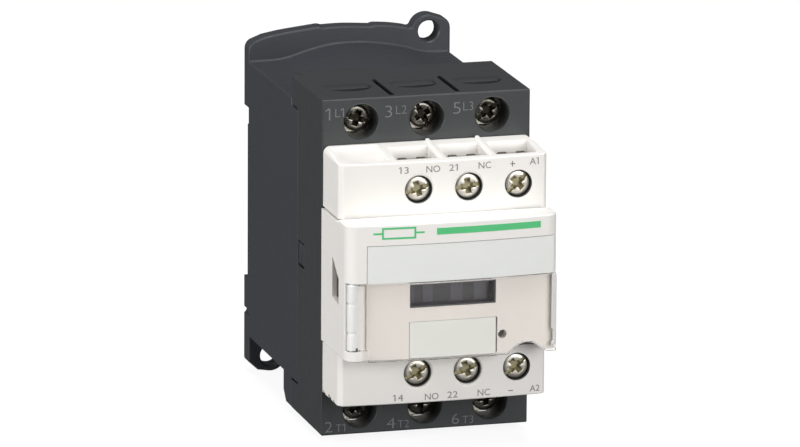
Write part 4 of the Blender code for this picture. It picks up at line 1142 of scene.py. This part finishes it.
@dataclass
class TerminalHousing:
    """White housing of the auxiliary and coil terminals, with its pockets, ribs and wells."""

    well: float = 2.98
    pocket: float = 4.4
    slope: float = 1.7
    upper: float = 13.5
    lower: float = -15.4
    wall: float = 1.4
    edge: float = 0.28
    rib: float = 0.45
    rib_half: float = 0.42
    corner: float = 1.5
    sleeve: float = 2.84
    tip_hole: float = 1.9
    steps: tuple[tuple[float, float, float], ...] = ((65.2, 1.8, 0.9), (69.4, 2.2, 1.1), (73.2, 1.4, 0.7))

    def row(self, z: Pair) -> Form:
        """One terminal row: a bar with a gently convex face and chamfered front corners.

        Args:
            z: Its bottom and top.

        Returns:
            The row.
        """
        half = WHITE_HALF
        face = [(-half, BLOCK_FACE + GAP), (-half, LABEL_FACE - 1.0),
                *front_line((-half + 0.9, half - 0.6), LABEL_FACE, LABEL_BULGE, half),
                (half, LABEL_FACE - 0.7), (half, BLOCK_FACE + GAP)]
        return Form.prism(face, Axis.Z, *z)

    def wedge(self) -> Form:
        """Cutter that slopes the upper row's top down toward its face."""
        low, high = HOUSE.z[1] - self.slope, HOUSE.z[1]
        return Form.prism([(BLOCK_FACE + 2, high), (LABEL_FACE + 4, low), (LABEL_FACE + 4, high + 3),
                           (BLOCK_FACE + 2, high + 3)], Axis.X, -HALF - 1, HALF + 1)

    def terminal(self, x: float, z: float, sign: int, inner: float) -> list[Form]:
        """Cutters of one terminal: pocket, wire funnel, screw well and tip hole.

        Args:
            x: Middle of the terminal.
            z: Height of its screw.
            sign: One for the upper row, minus one for the lower.
            inner: Distance of the pocket's inner wall from the middle.

        Returns:
            The cutters.
        """
        top, half = HOUSE.z[1], self.pocket
        plate = Place.of("aux_contact_13").depth[0]
        funnel = [(plate - 1.4, sign * (top + 1)), (plate + 0.2, sign * (top - 3.6)),
                  (LABEL_FACE - 1.3, sign * (top - 3.6)), (LABEL_FACE - 1.0, sign * (top + 1))]
        well = [(0, LABEL_FACE - 3), (self.well, LABEL_FACE - 3), (self.well, LABEL_FACE + 0.35),
                (self.well + 0.15, LABEL_FACE + 0.6), (self.well + 0.8, LABEL_FACE + 1.0),
                (self.well + 0.8, LABEL_FACE + OVER), (0, LABEL_FACE + OVER)]
        return [Form.block(about(x, half), (plate - GAP, LABEL_FACE - 1.3), signed(sign, inner, top + 3)),
                Form.prism(funnel, Axis.X, x - half, x + half),
                Form.lathe(well, (x, z)), Form.rod((x, z), (BLOCK_FACE + 2, plate), self.tip_hole)]

    def build(self) -> Form:
        """Shape the housing, then open its pockets, wells and ways.

        Returns:
            The housing.
        """
        top = HOUSE.z[1]
        housing = self.row((self.upper, top))
        housing.join(self.row((-top, self.lower)),
                     Form.block(about(0, HALF - 1.8), (BLOCK_FACE + GAP, BLOCK_FACE + 1.8),
                                (self.lower - 1, self.upper + 1)))
        radius = self.corner
        spare = [(WHITE_HALF + 1, top - radius), (WHITE_HALF + 1, top + 1), (WHITE_HALF - radius, top + 1),
                 *arc((WHITE_HALF - radius, top - radius), radius, 90, 0, 6)]
        housing.cut(self.wedge(), *[Form.prism([(side * x, z) for x, z in spare], Axis.Y, BLOCK_FACE,
                                               LABEL_FACE + 4) for side in (-1, 1)])
        housing.ease(self.edge, 3, 40, clamp=False)
        rise = self.rib
        ribs = [Form.prism([(BLOCK_FACE + 0.5, top - 3), (BLOCK_FACE + 0.5, top + rise),
                            (LABEL_FACE - 1.2, top - self.slope + rise + 0.35),
                            (LABEL_FACE + 0.3, top - self.slope - 0.1), (LABEL_FACE + 0.3, top - 3)],
                           Axis.X, *about((a + b) / 2, self.rib_half)).ease(0.18, 2, 30)
                for a, b in zip(AUX_X, AUX_X[1:])]
        housing.join(*ribs)
        cuts = [Form.block(x, (BLOCK_FACE - OVER, BLOCK_FACE + OVER), z) for x, z in (CARRIER_WAY, AUX_WAY)]
        for sign, z in zip((1, -1), AUX_Z):
            inner = (self.upper if sign > 0 else -self.lower) + self.wall
            cuts.append(Form.block((-WHITE_HALF + self.wall, AUX_X[0] - self.pocket - 1.2),
                                   (BLOCK_FACE - OVER, LABEL_FACE - 1.4), signed(sign, inner, top - 4.2)))
            cuts.append(Form.block(LEAD_WAY[0], (BLOCK_FACE - OVER, 70.2), signed(sign, *LEAD_WAY[1])))
            for x in AUX_X:
                cuts += self.terminal(x, z, sign, inner)
            cuts += [Form.block(about(x, 3.0), (68.9, 70.5), signed(sign, inner - 3, inner + 1))
                     for x in AUX_X[:2]]
        ramp = [(BLOCK_FACE + 1.5, top + 1), (BLOCK_FACE + 1.9, top - 0.7), (LABEL_FACE - 1.0, top - 2.7),
                (LABEL_FACE - 0.55, top + 1)]
        gusset = Form.prism([(-WHITE_HALF + 0.8, 73.6), (-WHITE_HALF + 0.8, 78.0), (-18.0, 78.0)],
                            Axis.Z, 20, 25.6)
        cuts.append(Form.prism(ramp, Axis.X, -WHITE_HALF + 1.2, AUX_X[0] - self.pocket - 1.5).cut(gusset))
        cuts += [Form.prism([(d, -top - 1.1), (d, -top + rise), (d + wide, -top + rise - 0.5),
                             (d + wide, -top - 1.1)], Axis.X, -HALF - 1, -WHITE_HALF + 1.2)
                 for d, wide, rise in self.steps]
        return housing.cut(*cuts)

    def markings(self) -> list[tuple[str, float, float, float]]:
        """Printed terminal names as (text, left x, bottom z, height)."""
        return [("13", -9.7, 22.75, 1.45), ("NO", -3.95, 22.75, 1.45), ("21", 0.95, 22.8, 1.45),
                ("NC", 7.3, 22.9, 1.45), ("A1", 18.5, 23.0, 1.5),
                ("14", -10.7, -25.75, 1.45), ("NO", -3.95, -25.85, 1.45), ("22", 0.9, -25.75, 1.45),
                ("NC", 7.5, -25.75, 1.45), ("A2", 19.0, -25.7, 1.4)]

    def dress(self) -> None:
        """Make the housing, its markings and its two signs."""
        piece("terminal_housing_shell", self.build(), Finishes.WHITE, "housing", ["terminal_housing"])
        marking("auxiliary_terminal_markings", self.markings(), Finishes.GREY_INK, label_face, 0.02)
        # Painted shade: dark charcoal rings line the wells round the auxiliary screws, so the gap round each
        # head reads dark
        back, front, outer = LABEL_FACE - 2.9, LABEL_FACE + 0.15, self.well - 0.01
        ring = [(self.sleeve, back), (outer, back), (outer, front), (self.sleeve, front), (self.sleeve, back)]
        shade_sleeves = [Form.lathe(ring, (x, z)) for x in AUX_X for z in AUX_Z]
        piece("screw_well_shade_sleeves", shade_sleeves[0].add(*shade_sleeves[1:]), Finishes.CHARCOAL, "housing")
        depth = (LABEL_FACE + 0.2, label_face(14.8) + 0.03)
        signs = Form.block((14.2, 15.3), depth, (-25.25, -25.03), 0.03)
        signs.add(Form.block((14.1, 15.3), depth, (23.35, 23.57), 0.03),
                  Form.block((14.59, 14.81), depth, (22.86, 24.06), 0.03))
        piece("coil_polarity_signs", signs, Finishes.GREY_INK, "housing")


@dataclass
class Hinge:
    """Where the clear flap turns: a vertical barrel at the cover's left edge."""

    x: float = -21.2
    depth: float = COVER_FACE - 1.0
    radius: float = 1.1
    pivot: float = 0.6
    foot: float = -12.9
    top: float = 1.3
    grooves: tuple[float, ...] = (-9.0, -2.8)


@dataclass
class FrontCover:
    """Raised white cover with rounded corners, its window, seats and the flap's foot."""

    hinge: Hinge = field(default_factory=Hinge)
    setback: float = 1.5
    wall: float = 1.4
    corner: float = 2.6
    window_x: Pair = (-9.1, 9.4)
    window_z: Pair = (-4.3, 0.7)
    marker_x: Pair = (-18.4, 21.8)
    marker_z: Pair = (1.45, 9.4)
    scoop: Pair = (16.2, -17.6)
    scoop_radius: float = 4.6
    tile_top: float = -7.3
    tile_line: Pair = (9.25, 9.75)
    hole: Pair = (10.9, -11.1)
    hole_radius: float = 0.95
    slot: tuple[Pair, ...] = ((73.6, -3.6), (73.6, 4.9), (74.1, 4.8), (78.6, 1.3), (78.6, -4.1))
    stripe: tuple[Pair, Pair] = ((-3.8, 18.8), (11.35, 12.75))
    ink: Pair = (-0.02, 0.1)                           # setback and thickness of printed marks
    symbol: tuple[tuple[Pair, Pair], ...] = (          # bars of the coil symbol, as x and z
        ((-17.2, -15.4), (11.85, 12.25)), ((-15.4, -8.2), (12.9, 13.3)), ((-15.4, -8.2), (10.8, 11.2)),
        ((-15.4, -15.0), (11.1, 13.0)), ((-8.6, -8.2), (11.1, 13.0)), ((-8.2, -6.4), (11.85, 12.25)))
    sliders: tuple[tuple[Pair, Pair, Pair], ...] = (   # distance from the middle, depth and z
        ((20.8, 21.6), (72.4, 80.2), (-5.2, 6.0)), ((21.3, 22.0), (74.1, 75.6), (-3.4, 3.2)))
    edge: float = 0.3

    def plan(self) -> Outline:
        """Plan of the cover with rounded vertical front edges.

        Returns:
            The outline as (x, depth).
        """
        half, corner = COVER_HALF, self.corner
        left = arc((-half + corner, COVER_FACE - corner + 0.3), corner, 180, 96, 10)
        run = front_line((-half + corner, half - corner), COVER_FACE, COVER_BULGE, half)
        return [(-half, BLOCK_FACE + 0.5), *left, *run, *[(-x, d) for x, d in reversed(left)],
                (half, BLOCK_FACE + 0.5)]

    def skin(self, x: Pair, z: Pair, outer: float, thickness: float, steps: int = 24) -> Form:
        """A plate that follows the cover's face.

        Args:
            x: Its left and right.
            z: Its bottom and top.
            outer: Its setback from that face.
            thickness: Its thickness.
            steps: Flat steps across it.

        Returns:
            The plate.
        """
        front = front_line(x, COVER_FACE - outer, COVER_BULGE, COVER_HALF, steps)
        return Form.prism([*front, *[(a, b - thickness) for a, b in reversed(front)]], Axis.Z, *z)

    def build(self) -> Form:
        """Shape the cover and open its hollow, seats, window and slots.

        Returns:
            The cover.
        """
        low, high = COVER.z
        cover = Form.prism(self.plan(), Axis.Z, low, high)
        cover.ease(self.edge, 3, 40, clamp=False)
        inner, hollow = HALF - self.wall + 0.3, COVER_FACE - self.setback - self.wall
        seam = LABEL_FACE + LABEL_BULGE + GAP
        h, top = self.hinge, self.hinge.top + GAP
        mark_x, mark_z, tile_x = [(span[0] - SEAT, span[1] + SEAT)
                                  for span in (self.marker_x, self.marker_z, self.window_x)]
        cover.cut(
            Form.block(about(0, inner), (BLOCK_FACE - OVER, hollow), (low + 2.4, high - 1.2)),
            Form.block(about(0, HALF + OVER), (BLOCK_FACE - OVER, seam), (high - 0.7, high + OVER)),
            Form.block(about(0, inner), (BLOCK_FACE - OVER, seam), (high - 2, high)),
            Form.block(about(0, inner), (BLOCK_FACE - OVER, seam), (low - 1, low + 3)),
            self.skin((h.x + h.radius + 0.6, HALF + 2), (low - 2, top), -4, 4 + self.setback),
            Form.block((-HALF - 2, h.x + 3), (COVER_FACE - self.setback, COVER_FACE + 4), (h.foot, top)),
            Form.rod((h.x, h.depth), (h.foot, top), h.radius + 0.08, Axis.Z, 40),
            Form.rod((h.x, h.depth), (h.foot - 1.4, h.top + 1.7), h.pivot + 0.25, Axis.Z, 24),
            self.skin(mark_x, mark_z, -2, 2.9),
            self.skin(tile_x, (low - 1, self.tile_top + 0.1), 0, 2.0),
            Form.block(self.tile_line, (COVER_FACE - 3.0, COVER_FACE + 3), (low + 0.3, self.tile_top)),
            Form.block(self.window_x, (hollow - 2, COVER_FACE + 3), self.window_z),
            Form.prism(self.slot, Axis.X, -HALF - 2, -HALF + 3),
            Form.prism(self.slot, Axis.X, HALF - 3, HALF + 2),
            Form.rod(self.scoop, (seam, COVER_FACE + 4), self.scoop_radius, Axis.Y, 64),
            Form.rod(self.hole, (80, 88), self.hole_radius, Axis.Y, 32))
        return cover

    def dress(self) -> None:
        """Make the cover, its labels and its stripe."""
        seam = LABEL_FACE + LABEL_BULGE + 2 * GAP
        piece("front_cover_shell", self.build(), Finishes.WHITE, "housing", ["front_cover"])
        plate = self.skin(self.marker_x, self.marker_z, 0.06, 0.5).ease(0.08, 2, 40)
        piece("marker_strip", plate, Finishes.CARD, "housing", ["marker_plate"])
        label = self.skin(self.window_x, (COVER.z[0] + 0.1, self.tile_top), self.setback - 0.1, 0.4)
        label.ease(0.06, 2, 40)
        piece("rating_card", label, Finishes.RATING, "housing", ["rating_label"])
        bars = [self.skin(x, z, *self.ink, 4) for x, z in self.symbol]
        for name, form in (("green_stripe", self.skin(*self.stripe, *self.ink)),
                           ("coil_symbol", bars[0].add(*bars[1:]))):
            piece(name, form, Finishes.GREEN_INK, "housing")
        x, z = self.window_x, self.window_z
        liner = Form.block((x[0] + 0.03, x[1] - 0.03), (81.75, 84.0), (z[0] + 0.03, z[1] - 0.03))
        liner.cut(Form.block((x[0] + 0.3, x[1] - 0.3), (80, 86), (z[0] + 0.3, z[1] - 0.3)))
        piece("window_liner", liner, Finishes.REVEAL, "housing")
        for side, word in ((-1, "left"), (1, "right")):
            plate, ridge = [Form.block(sorted((side * a[0], side * a[1])), depth, z, 0.15)
                            for a, depth, z in self.sliders]
            piece(f"interlock_slider_{word}", plate.add(ridge), Finishes.PHENOLIC, "housing")
        # Painted shade: a grey lining on the scoop's wall, which faces down and lies in shade
        painted_shade = Form.rod(self.scoop, (seam, COVER_FACE - 0.9), self.scoop_radius - 0.02, Axis.Y, 64)
        painted_shade.cut(Form.rod(self.scoop, (seam - 2, COVER_FACE + 2), self.scoop_radius - GAP, Axis.Y, 64),
                   Form.block(about(self.scoop[0], 6), (seam - 2, COVER_FACE + 2),
                              (self.scoop[1] - 7, COVER.z[0] + 0.4)))
        piece("scoop_painted_shade", painted_shade, Finishes.FROST_AND_SHADE, "housing")


@dataclass
class FrontFlap:
    """Clear flap over the window: a curved plate, a hinge barrel and a frosted pull edge."""

    cover: FrontCover = field(default_factory=FrontCover)
    thickness: float = 1.0
    ring: float = 0.12                   # depth of the barrel's grooves
    pull_left: float = 21.45
    pull_gap: tuple[Pair, Pair] = ((21.2, 21.8), (-13.2, -10.6))

    def build(self) -> Form:
        """Shape the clear plate.

        Returns:
            The plate.
        """
        h, low = self.cover.hinge, COVER.z[0] - 0.2
        flap = self.cover.skin((h.x + 1.3, HALF), (low, h.top), 0, self.thickness, 32)
        flap.cut(Form.block((-HALF - 1, h.x + 3.2), (COVER_FACE - 6, COVER_FACE + 4),
                            (low - 1, h.foot + 0.2)),
                 Form.rod(self.cover.scoop, (COVER_FACE - 4, COVER_FACE + 4),
                          self.cover.scoop_radius + 0.1, Axis.Y, 64))
        flap.ease(0.14, 2, 40, clamp=False)
        return flap

    def barrel(self) -> Form:
        """Turn the hinge barrel with its grooves and its two pivots.

        Returns:
            The barrel.
        """
        h = self.cover.hinge
        base, top = h.foot + 0.2, h.top
        rings = [(h.radius - inset, groove + z) for groove in h.grooves
                 for inset, z in ((0, -0.4), (self.ring, -0.2), (self.ring, 0.2), (0, 0.4))]
        rim = 0.15
        profile = [(0, base), (h.radius - rim, base), (h.radius, base + rim), *rings,
                   (h.radius, top - rim), (h.radius - rim, top), (0, top)]
        barrel = Form.lathe(profile, (h.x, h.depth), 40, Axis.Z)
        return barrel.join(Form.rod((h.x, h.depth), (h.foot - 1.1, h.top + 1.4), h.pivot, Axis.Z, 24, 0.1),
                           Form.block((h.x + 0.3, h.x + 1.9), (h.depth - 0.15, COVER_FACE - 0.25),
                                      (base + 0.3, top - 0.3)))

    def dress(self) -> None:
        """Make the flap."""
        piece("clear_flap", self.build(), Finishes.CLEAR, "flap", ["front_flap"])
        piece("flap_hinge_barrel", self.barrel(), Finishes.SLEEVE, "flap")
        # Painted shadow: a dark block in the gap at the hinge's foot, standing in for the shadow there
        gap_shadow = Form.block((-21.45, -20.2), (COVER_FACE - 1.6, COVER_FACE - 0.02), (-12.8, -12.1), 0.1)
        piece("flap_hinge_gap_shadow", gap_shadow, Finishes.BAND, "flap")
        pull = self.cover.skin((self.pull_left, HALF - 0.02), (-14.0, self.cover.hinge.top - 0.1),
                               -0.12, 0.9, 4)
        pull.cut(Form.block(self.pull_gap[0], (COVER_FACE - 2, COVER_FACE + 3), self.pull_gap[1]))
        piece("flap_pull_edge", pull.ease(0.12, 2, 40), Finishes.FROST_AND_SHADE, "flap")


@dataclass
class Screw:
    """A slotted cross-head terminal screw with a ridged shank."""

    name: str
    centre: Pair
    face: float
    head: float
    thickness: float
    shank: float
    tip: float
    turn: float
    washer: bool = False
    pitch: float = 0.5
    thread: float = 0.28
    dome: tuple[Pair, ...] = ((0.72, 0.03), (0.87, 0.09), (0.96, 0.24), (1.0, 0.5))  # share of radius, drop
    cross: tuple[Pair, ...] = ((0.62, -1.0), (0.60, 0.3), (0.30, 1.35))              # share of radius, depth
    arm_half: float = 0.19               # share of radius
    slot_half: float = 0.15
    slot_depth: float = 0.7

    def build(self) -> Form:
        """Turn the screw's profile, then cut its cross and its slot.

        Returns:
            The screw.
        """
        r, back, s = self.head, self.face - self.thickness, self.shank
        profile = [(0, self.face), *[(r * share, self.face - drop) for share, drop in self.dome], (r, back)]
        if self.washer:
            profile += [(s + 0.1, back), (s + 0.1, back - 0.2), (r, back - 0.2), (r + 0.08, back - 0.3),
                        (r + 0.08, back - 0.9), (r, back - 1.0)]
            back -= 1.0
        profile.append((s, back))
        threads = int((back - 0.3 - (self.tip + 0.5)) / self.pitch)
        for i in range(threads):
            start = back - 0.3 - self.pitch * i
            profile += [(s, start), (s - self.thread, start - self.pitch / 2)]
        profile += [(s - 0.05, self.tip + 0.5), (s - 0.5, self.tip), (0, self.tip)]
        screw = Form.lathe(profile, self.centre, 48)
        x, z = self.centre
        right = [(share * r, self.face - depth) for share, depth in self.cross]
        wing = [(x - right[0][0], right[0][1]), *[(x + u, d) for u, d in right],
                *[(x - u, d) for u, d in reversed(right[1:])]]
        arms = [Form.prism(wing, Axis.Z, *about(z, self.arm_half * r)) for _ in (0, 1)]
        for arm, angle in zip(arms, (self.turn, self.turn + 90)):
            for v in arm.bm.verts:       # the arms widen outward
                v.co.z = z + (v.co.z - z) * (0.75 + 0.5 * abs(v.co.x - x) / right[0][0])
            arm.turned(angle, self.centre)
        slot = Form.block(about(x, r + 1), (self.face - self.slot_depth, self.face + 2),
                          about(z, self.slot_half * r))
        screw.cut(*arms, slot.turned(self.turn, self.centre))
        return screw.ease(0.07, 2, 45, lambda p: p.y < -self.face + 1.1, clamp=True)

    def dress(self) -> None:
        """Make the screw."""
        finish = Finishes.AUX_HEAD if self.washer else Finishes.POWER_HEAD
        piece(f"{self.name}_detail", self.build(), finish, self.name, [self.name], smooth=28)


@dataclass
class Terminals:
    """All twelve screws and the six power clamps."""

    turns: tuple[float, ...] = (18.0, 62.0, -35.0)         # angle of each upper power screw's cross
    row_turn: float = 27.0                                 # how far the lower ones are turned from those
    aux_turns: tuple[tuple[float, ...], ...] = ((-17, -8, -43), (-30, -20, -40))
    power_head: tuple[float, float, float] = (2.85, 2.4, 1.75)   # radius, thickness, shank radius
    aux_head: tuple[float, float, float] = (2.7, 1.5, 1.5)
    aux_sink: float = 0.4
    plate: Pair = (73.1, 74.1)
    plate_half: float = 3.8

    def dress(self) -> None:
        """Make every screw and clamp."""
        for i in (1, 2, 3):
            for row in ("line", "load"):
                name = f"{row}_screw_{i}"
                place = Place.of(name)
                turn = self.turns[i - 1] + (0 if row == "line" else self.row_turn)
                Screw(name, place.centre, place.depth[1], *self.power_head, place.depth[0], turn).dress()
                clamp = Form.of_node(f"{row}_clamp_{i}").ease(0.22, 2, 50)
                piece(f"{row}_clamp_{i}_detail", clamp, Finishes.PLATED, f"{row}_clamp_{i}",
                      [f"{row}_clamp_{i}"])
        for i, pair in enumerate(AUX_MARKS):
            for k, mark in enumerate(pair):
                name = f"terminal_screw_{mark}"
                place = Place.of(name)
                Screw(name, place.centre, place.depth[1] - self.aux_sink, *self.aux_head, place.depth[0],
                      self.aux_turns[k][i], True).dress()
                self.yoke(mark, place.centre, 1 - 2 * k)

    def yoke(self, mark: str, centre: Pair, sign: int) -> None:
        """Make one auxiliary terminal's pressure plate with its two upturned ends.

        Args:
            mark: The terminal's name.
            centre: Its screw's place, as (x, z).
            sign: One for the upper row, minus one for the lower.
        """
        x, z = centre
        yoke = Form.block(about(x, self.plate_half), self.plate,
                          sorted((z - sign * 3.6, z + sign * 5.6)), 0.12)
        yoke.join(*[Form.block(about(x + a, 0.85), (73.2, 75.5), sorted((z + sign * 4.0, z + sign * 5.9)))
                    for a in (-2.5, 1.5)])
        yoke.cut(Form.rod(centre, (72, 75), 1.8))
        piece(f"pressure_plate_{mark}", yoke, Finishes.YOKE, "housing")


@dataclass
class Coil:
    """A compression spring wound along the depth or the height, with closed end turns."""

    name: str
    start: tuple[float, float, float]     # x, depth and z of its first end
    length: float
    radius: float
    wire: float
    turns: int
    bodies: tuple[str, str]
    axis: Axis = Axis.Y
    closed: float = 0.06                  # share of the length that each closed end turn takes

    def build(self) -> Form:
        """Sweep the wire's section round the axis: one flat turn, the open turns, one flat turn.

        Returns:
            The spring.
        """
        bm = bmesh.new()
        x, depth, z = self.start
        along = self.axis.place(0, 0, 1)
        arm = Vector((self.radius - self.wire / 2, 0, 0))
        origin = Vector((x, -depth, z)) + along * self.wire / 2
        made = bmesh.ops.create_circle(bm, cap_ends=True, segments=10, radius=self.wire / 2)
        turn = Matrix.Rotation(0.0 if self.axis is Axis.Y else math.pi / 2, 4, "X")
        bmesh.ops.transform(bm, matrix=Matrix.Translation(origin + arm) @ turn, verts=bm.verts)
        geom = list(bm.verts) + list(bm.edges) + list(bm.faces)
        free = self.length - self.wire
        for turns, share in ((1, self.closed), (self.turns, 1 - 2 * self.closed), (1, self.closed)):
            steps = 24 * turns
            geom = bmesh.ops.spin(bm, geom=geom, cent=origin, axis=along, dvec=along * (free * share / steps),
                                  angle=math.tau * turns, steps=steps)["geom_last"]
        bmesh.ops.recalc_face_normals(bm, faces=bm.faces)
        return Form(bm)

    def dress(self) -> None:
        """Make the spring, attached to no body, with its place baked into its mesh."""
        x, depth, z = self.start
        start = Vector((x, -depth, z)) * MM
        end = start + self.axis.place(0, 0, 1) * self.length * MM
        spring = piece(f"{self.name}_wound", self.build(), Finishes.SPRING, None, [self.name], weighted=False)
        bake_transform(spring)
        LOG.info("%s gives between %s and %s", self.name, *self.bodies)


@dataclass
class Springs:
    """Every spring of the contactor, placed by its frame node."""

    def dress(self) -> None:
        """Make the return, bridge, auxiliary and catch springs."""
        for word in ("upper", "lower"):
            self.between(f"return_spring_{word}", 2.4, 0.5, 4, ("housing", "carrier"))
        for i in (1, 2, 3):
            self.between(f"bridge_spring_{i}", 2.4, 0.45, 2, (f"power_bridge_{i}", "carrier"))
        self.between("aux_spring_no", 1.9, 0.32, 2, ("aux_bridge_no", "carrier"))
        self.between("aux_spring_nc", 1.9, 0.32, 2, ("carrier", "aux_bridge_nc"))
        place = Place.of("rail_clip_spring")
        Coil("rail_clip_spring", (place.centre[0], sum(place.depth) / 2, place.z[0]),
             place.z[1] - place.z[0], 1.0, 0.36, 4, ("housing", "rail_catch"), Axis.Z).dress()

    def between(self, name: str, radius: float, wire: float, turns: int, bodies: tuple[str, str]) -> None:
        """Make one spring that lies along the depth, from its node's place.

        Args:
            name: The spring's node.
            radius: Its outer radius.
            wire: Thickness of its wire.
            turns: Its open turns.
            bodies: The bodies at its back and its front.
        """
        place = Place.of(name)
        Coil(name, (place.centre[0], place.depth[0], place.centre[1]), place.depth[1] - place.depth[0],
             radius, wire, turns, bodies).dress()


@dataclass
class Internals:
    """Magnet, coil, contacts and carrier: the frame's shapes with worked edges."""

    bands: tuple[Pair, ...] = ((-8.3, -7.4), (-5.6, -3.4), (0.4, 3.0), (5.4, 8.2))
    band_z: Pair = (-4.0, 4.0)

    def table(self) -> list[tuple[str, Finishes, str, float]]:
        """List the inner nodes.

        Returns:
            Each node with its finish, its body and the width of its eased edges.
        """
        rows = [("fixed_core", Finishes.STEEL, "housing", 0.15),
                ("armature", Finishes.STEEL, "carrier", 0.15),
                ("armature_key", Finishes.PLATED, "carrier", 0.2),
                ("core_cushion", Finishes.RUBBER, "housing", 0.0),
                ("coil_bobbin", Finishes.NYLON, "housing", 0.25),
                ("coil_winding", Finishes.WIRE, "housing", 0.4)]
        rows += [(f"shading_ring_{side}", Finishes.RING, "housing", 0.12) for side in ("left", "right")]
        rows.append(("contact_carrier", Finishes.CARRIER, "carrier", 0.12))
        rows += [(f"aux_bridge_{kind}", Finishes.COPPER, f"aux_bridge_{kind}", 0.12) for kind in ("no", "nc")]
        rows += [(f"power_bridge_{i}", Finishes.COPPER, f"power_bridge_{i}", 0.2) for i in (1, 2, 3)]
        rows += [(f"{row}_contact_{i}", Finishes.COPPER, "housing", 0.15) for row in ("line", "load")
                 for i in (1, 2, 3)]
        rows += [(f"aux_contact_{mark}", Finishes.COPPER, "housing", 0.12) for pair in AUX_MARKS[:2]
                 for mark in pair]
        return rows + [(f"coil_terminal_{mark}", Finishes.COPPER, "housing", 0.12) for mark in AUX_MARKS[2]]

    def dress(self) -> None:
        """Make every inner piece, and the banded front of the indicator."""
        for node, finish, body, edge in self.table():
            form = Form.of_node(node)
            piece(f"{node}_detail", form.ease(edge, 2, 50) if edge else form, finish, body, [node])
        front = Place.of("contact_carrier").depth[1]
        bands = [Form.block(x, (front - 0.3, front + 0.08), self.band_z, 0.05) for x in self.bands]
        piece("indicator_bands", bands[0].add(*bands[1:]), Finishes.BAND, "carrier")


@dataclass
class RailCatch:
    """Sliding catch that grips behind the rail's lower edge."""

    def dress(self) -> None:
        """Make the catch with rounded edges."""
        piece("rail_catch_slide", Form.of_node("rail_clip").ease(0.2, 2, 50), Finishes.CHARCOAL,
              "rail_catch", ["rail_clip"])


@dataclass
class Studio:
    """Pale floor, soft light and the camera."""

    eye: tuple[float, float, float] = (-437.3, -1585.3, 391.5)
    azimuth: float = 15.844
    elevation: float = 13.607
    roll: float = 0.344
    lens: float = 350.96
    floor: float = -37.7
    ambient: float = 0.135
    aim: tuple[float, float, float] = (0.0, -0.045, 0.0)
    lamps: tuple[tuple[str, tuple[float, float, float], float, float], ...] = (
        ("key", (0.42, -1.08, 0.30), 0.8, 8.9), ("left", (-1.13, -0.25, 0.26), 0.8, 11.9),
        ("top", (0.0, -0.25, 1.15), 0.8, 9.6))

    def camera(self) -> None:
        """Aim the camera at the contactor's front from its upper left."""
        az, el, roll = (math.radians(a) for a in (self.azimuth, self.elevation, self.roll))
        back = Vector((-math.sin(az) * math.cos(el), -math.cos(az) * math.cos(el), math.sin(el)))
        right = (-back).cross(Vector((0, 0, 1))).normalized()
        up = right.cross(-back)
        right, up = (right * math.cos(roll) + up * math.sin(roll),
                     up * math.cos(roll) - right * math.sin(roll))
        data = bpy.data.cameras.new("camera")
        data.lens, data.sensor_width, data.clip_end = self.lens, 36.0, 20.0
        camera = bpy.data.objects.new("camera", data)
        camera.matrix_world = (Matrix.Translation(Vector(self.eye) * MM)
                               @ Matrix((right, up, back)).transposed().to_4x4())
        bpy.context.scene.collection.objects.link(camera)
        bpy.context.scene.camera = camera

    def light(self, name: str, place: Sequence[float], size: float, power: float) -> None:
        """One large soft lamp aimed at the contactor.

        Args:
            name: The lamp's name.
            place: Where it hangs, in metres.
            size: Its width in metres.
            power: Its power in watts.
        """
        data = bpy.data.lights.new(name, "AREA")
        data.shape, data.size, data.energy = "DISK", size, power
        lamp = bpy.data.objects.new(name, data)
        lamp.location = place
        aim = Vector(self.aim) - Vector(place)
        lamp.rotation_euler = aim.to_track_quat("-Z", "Y").to_euler()
        bpy.context.scene.collection.objects.link(lamp)

    def build(self) -> None:
        """Lay the floor and set the lights and the camera."""
        bm = bmesh.new()
        bmesh.ops.create_grid(bm, x_segments=1, y_segments=1, size=4.0)
        bmesh.ops.translate(bm, vec=(0, 0, self.floor * MM), verts=bm.verts)
        mesh = bpy.data.meshes.new("floor")
        bm.to_mesh(mesh)
        floor = bpy.data.objects.new("floor", mesh)
        g = Graph("studio_floor")
        g.feed(Base_Color=g.blend(g.noise(6, 2), (0.16, 0.16, 0.16), (0.18, 0.18, 0.18)), Roughness=0.9,
               Specular_IOR_Level=0.0, Emission_Color=(1.0, 1.0, 1.0, 1.0), Emission_Strength=0.9)
        mesh.materials.append(g.material)
        bpy.context.scene.collection.objects.link(floor)
        floor.visible_glossy = floor.visible_diffuse = False
        world = bpy.data.worlds.new("studio")
        world.use_nodes = True
        tree = world.node_tree
        dim = tree.nodes["Background"]
        dim.inputs["Color"].default_value, dim.inputs["Strength"].default_value = (1, 1, 1, 1), self.ambient
        pale, mix = tree.nodes.new("ShaderNodeBackground"), tree.nodes.new("ShaderNodeMixShader")
        pale.inputs["Color"].default_value = (1, 1, 1, 1)
        sight = tree.nodes.new("ShaderNodeLightPath").outputs["Is Camera Ray"]
        for socket, source in ((mix.inputs[0], sight), (mix.inputs[1], dim.outputs[0]),
                               (mix.inputs[2], pale.outputs[0]),
                               (tree.nodes["World Output"].inputs["Surface"], mix.outputs[0])):
            tree.links.new(source, socket)
        bpy.context.scene.world = world
        bpy.context.scene.view_settings.view_transform = "Standard"
        for lamp in self.lamps:
            self.light(*lamp)
        self.camera()


def main() -> None:
    """Build the contactor around its frame, piece by piece."""
    logging.basicConfig(level=logging.INFO, format="%(name)s: %(message)s")
    Studio().build()
    for part in (MountingBase(), ContactBlock(), TerminalHousing(), FrontCover(), FrontFlap(), Terminals(),
                 Springs(), Internals(), RailCatch()):
        part.dress()


if __name__ == "__main__":
    main()
